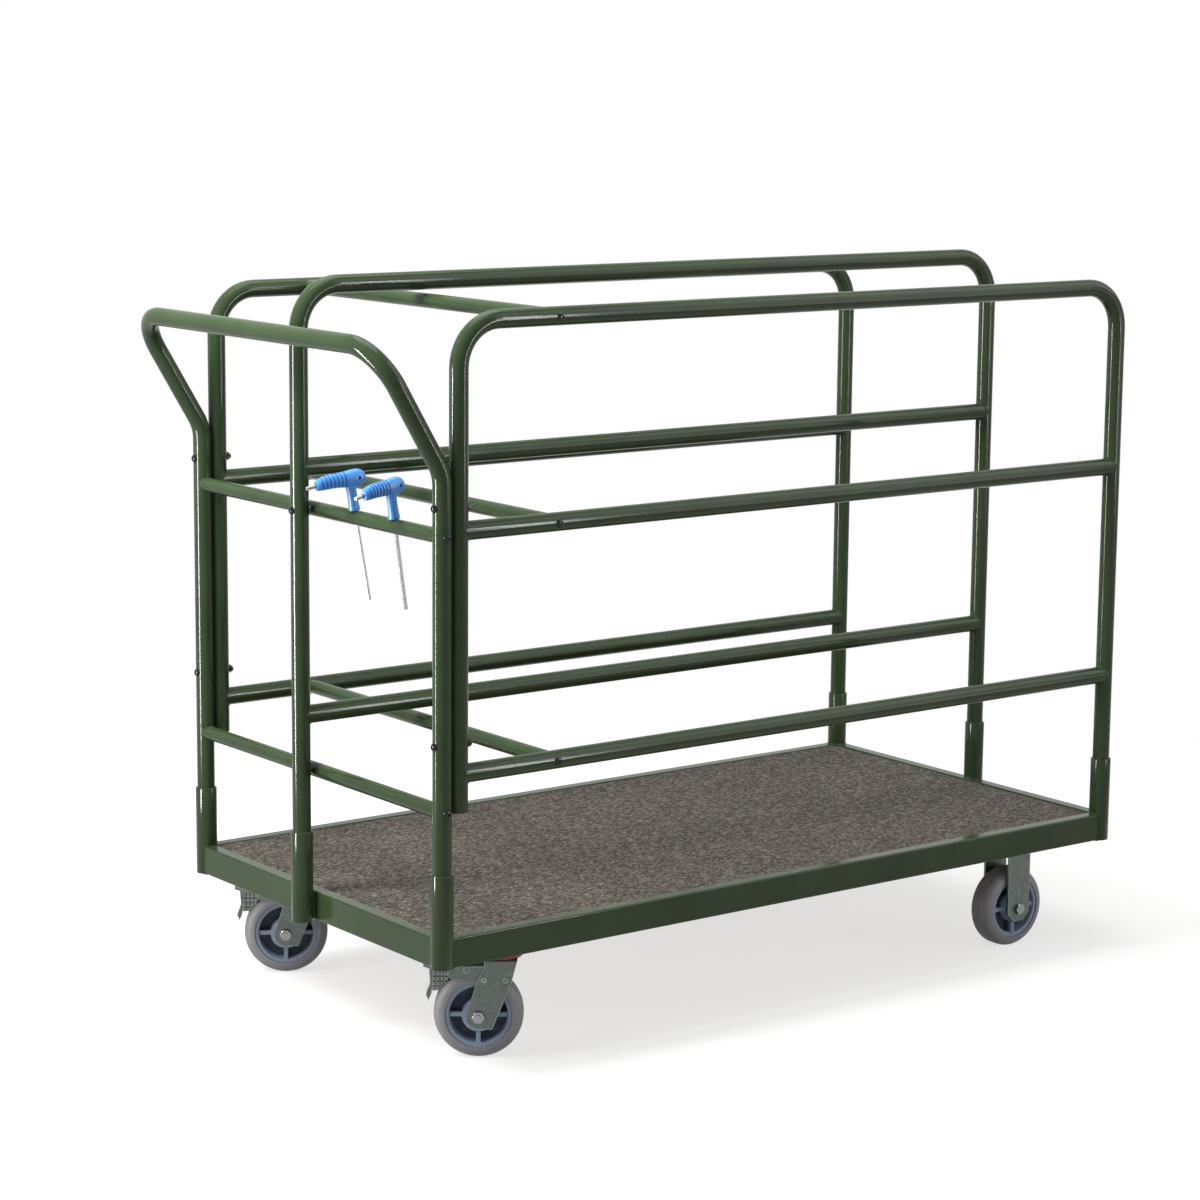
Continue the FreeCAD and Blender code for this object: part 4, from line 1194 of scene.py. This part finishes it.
@dataclass
class SwivelCaster(SubAssembly):
    """One braked swivel caster at the handle end."""

    side: Side

    def build(self) -> None:
        """Dresses the caster."""
        word = self.side.word
        for piece in ("yoke", "brake_housing", "brake_pedal"):
            dress(f"{word}_{piece}", ZINC, EdgeBreak.FORGED)
        dress(word + "_brake_rivets", ZINC, EdgeBreak.SHEET)
        dress(word + "_swivel_axle", STEEL, EdgeBreak.SHEET)
        dress(word + "_swivel_sleeve", STEEL)
        dress(word + "_dust_ring", SealPlastic(), EdgeBreak.FORGED)
        dress_wheel(word + "_swivel")


@dataclass
class RigidCaster(SubAssembly):
    """One fixed caster at the far end."""

    side: Side

    def build(self) -> None:
        """Dresses the wheel; the brackets of both sides are one node."""
        dress_wheel(self.side.word + "_rigid")


@dataclass
class CasterPlates(SubAssembly):
    """Pieces that both casters of an end share as nodes."""

    plated: tuple[str, ...] = ("swivel_plates", "rigid_brackets", "kingpins")

    def build(self) -> None:
        """Dresses the plates, brackets and pins."""
        for node in self.plated:
            dress(node, ZINC, EdgeBreak.FORGED)
        dress("rigid_axles", STEEL, EdgeBreak.SHEET)
        dress("rigid_sleeves", STEEL)


@dataclass
class HexKey(SubAssembly):
    """One hex key hanging in the mid end rail."""

    word: str

    def build(self) -> None:
        """Dresses grip and blade."""
        dress(self.word + "_key_grip", MouldedGrip(), EdgeBreak.FORGED)
        dress(self.word + "_key_blade", BLADE_STEEL, EdgeBreak.SHEET)


@dataclass(frozen=True)
class SoftBox:
    """One soft studio lamp that looks at a point of the cart."""

    name: str
    place: Triple
    goal: Triple
    size: tuple[float, float]
    power: float
    use: LampUse = LampUse.BOTH

    def build(self) -> None:
        """Hangs the lamp; one for the gloss shows in polish only, and one for the colours doesn't."""
        data = bpy.data.lights.new(self.name, "AREA")
        data.shape = "RECTANGLE"
        data.size, data.size_y = self.size
        data.energy = self.power
        lamp = bpy.data.objects.new(self.name, data)
        lamp.location = self.place
        way = Vector(self.goal) - Vector(self.place)
        lamp.rotation_euler = way.to_track_quat("-Z", "Y").to_euler()
        lamp.visible_camera = False
        lamp.visible_diffuse = self.use is not LampUse.GLOSS
        lamp.visible_glossy = self.use is not LampUse.COLOUR
        bpy.context.scene.collection.objects.link(lamp)


@dataclass(frozen=True)
class PaleFloor(Finish):
    """Pale studio floor that keeps the cart's shadow and fades into the white ground."""

    name: str = "pale_floor"
    near: float = 1.5
    far: float = 3.0
    lift: float = 0.68
    plain: Colour = srgb(186, 186, 185)
    speckled: Colour = srgb(192, 192, 191)

    def lay(self, surface: Surface) -> None:
        """Builds the floor's shaders.

        Args:
            surface: The surface to build on.
        """
        place = surface.at()
        distance = surface.vector("LENGTH", place, output="Value")
        colour = surface.mix(surface.noise(place, 60.0, 3.0), self.plain, self.speckled)
        lit = surface.node("ShaderNodeBsdfDiffuse", inputs={"Color": colour})
        glow = surface.node("ShaderNodeEmission", inputs={"Color": WHITE, "Strength": self.lift})
        white = surface.node("ShaderNodeEmission", inputs={"Color": WHITE, "Strength": 1.0})
        raised = surface.node("ShaderNodeAddShader", inputs={0: lit, 1: glow})
        fade = surface.step(distance, self.near, self.far)
        shown = surface.node("ShaderNodeMixShader", inputs={0: fade, 1: raised, 2: white})
        surface.end(surface.node("ShaderNodeMixShader", inputs={0: surface.looked_at(), 1: lit, 2: shown}))


@dataclass
class Studio(SubAssembly):
    """Floor, white surround, soft lamps and the camera."""

    ambient: float = 0.25
    floor_radius: float = 7.0
    floor_sides: int = 96
    camera_place: Triple = (-3.58582, -4.53493, 1.67657)
    camera_yaw: float = 0.64753
    camera_pitch: float = 0.17076
    camera_roll: float = 0.00899
    lens: float = 95.116
    sensor: float = 36.0
    far_clip: float = 60.0
    lamps: tuple[SoftBox, ...] = (
        SoftBox("left_softbox", (-3.6, 0.7, 1.7), (0.0, 0.0, 0.6), (1.2, 2.0), 36.0, LampUse.COLOUR),
        SoftBox("handle_softbox", (-2.2, 0.2, 2.4), (-0.9, 0.0, 1.7), (1.0, 1.0), 58.0, LampUse.COLOUR),
        SoftBox("top_softbox", (-0.3, 0.3, 3.6), (0.0, 0.0, 0.0), (2.6, 2.0), 64.0),
        SoftBox("right_fill", (3.0, -3.6, 1.0), (0.3, 0.0, 0.5), (1.4, 1.6), 24.0),
        SoftBox("gloss_panel", (2.2, -2.0, 2.9), (0.0, -0.3, 1.0), (3.2, 2.8), 75.0, LampUse.GLOSS),
        SoftBox("left_strip", (-2.6, 0.45, 0.63), (0.0, 0.0, 0.63), (0.3, 1.2), 118.0, LampUse.GLOSS),
        SoftBox("right_strip", (1.7, -3.6, 1.4), (0.0, 0.0, 1.2), (0.2, 1.9), 62.0, LampUse.GLOSS))

    def build(self) -> None:
        """Sets up the studio."""
        self._floor()
        self._surround()
        for lamp in self.lamps:
            lamp.build()
        self._camera()
        bpy.context.scene.view_settings.view_transform = "Standard"
        log.info("studio: %d lamps", len(self.lamps))

    def _floor(self) -> None:
        """Lays the round floor just under the wheels."""
        radius, sides = self.floor_radius, self.floor_sides
        turns = [2 * math.pi * k / sides for k in range(sides)]
        points = [Vector((radius * math.cos(turn), radius * math.sin(turn), 0.0)) for turn in turns]
        mesh = bpy.data.meshes.new("floor")
        mesh.from_pydata(points, [], [tuple(range(sides))])
        mesh.materials.append(PaleFloor().material())
        floor = bpy.data.objects.new("floor", mesh)
        bpy.context.scene.collection.objects.link(floor)

    def _surround(self) -> None:
        """White ground to look at, with a plain level of light from all round."""
        world = bpy.data.worlds.new("studio")
        world.use_nodes = True
        bpy.context.scene.world = world
        surface = Surface(world.node_tree)
        light = surface.node("ShaderNodeBackground", inputs={"Color": WHITE, "Strength": self.ambient})
        white = surface.node("ShaderNodeBackground", inputs={"Color": WHITE, "Strength": 1.0})
        both = surface.node("ShaderNodeMixShader", inputs={0: surface.looked_at(), 1: light, 2: white})
        surface.end(both, "ShaderNodeOutputWorld")

    def _camera(self) -> None:
        """Puts the camera at the photograph's view."""
        yaw, pitch, roll = self.camera_yaw, self.camera_pitch, self.camera_roll
        ahead = Vector((math.sin(yaw) * math.cos(pitch), math.cos(yaw) * math.cos(pitch), -math.sin(pitch)))
        right = Vector((math.cos(yaw), -math.sin(yaw), 0.0))
        above = right.cross(ahead)
        right, above = (right * math.cos(roll) + above * math.sin(roll),
                        above * math.cos(roll) - right * math.sin(roll))
        turn = Matrix((right, above, -ahead)).transposed().to_4x4()
        data = bpy.data.cameras.new("photo_view")
        data.lens = self.lens
        data.sensor_fit = "HORIZONTAL"
        data.sensor_width = self.sensor
        data.clip_end = self.far_clip
        camera = bpy.data.objects.new("photo_view", data)
        camera.matrix_world = Matrix.Translation(self.camera_place) @ turn
        bpy.context.scene.collection.objects.link(camera)
        bpy.context.scene.camera = camera


def main() -> None:
    """Builds the cart's sub-assemblies and the studio in order."""
    parts: Sequence[SubAssembly] = (
        Studio(), HoopFrame(), DeckFrame(), Fasteners(), SwivelCaster(Side.FRONT), SwivelCaster(Side.BACK),
        RigidCaster(Side.FRONT), RigidCaster(Side.BACK), CasterPlates(), HexKey("inner"), HexKey("outer"))
    for part in parts:
        log.info("building %s", type(part).__name__)
        part.build()


if __name__ == "__main__":
    main()
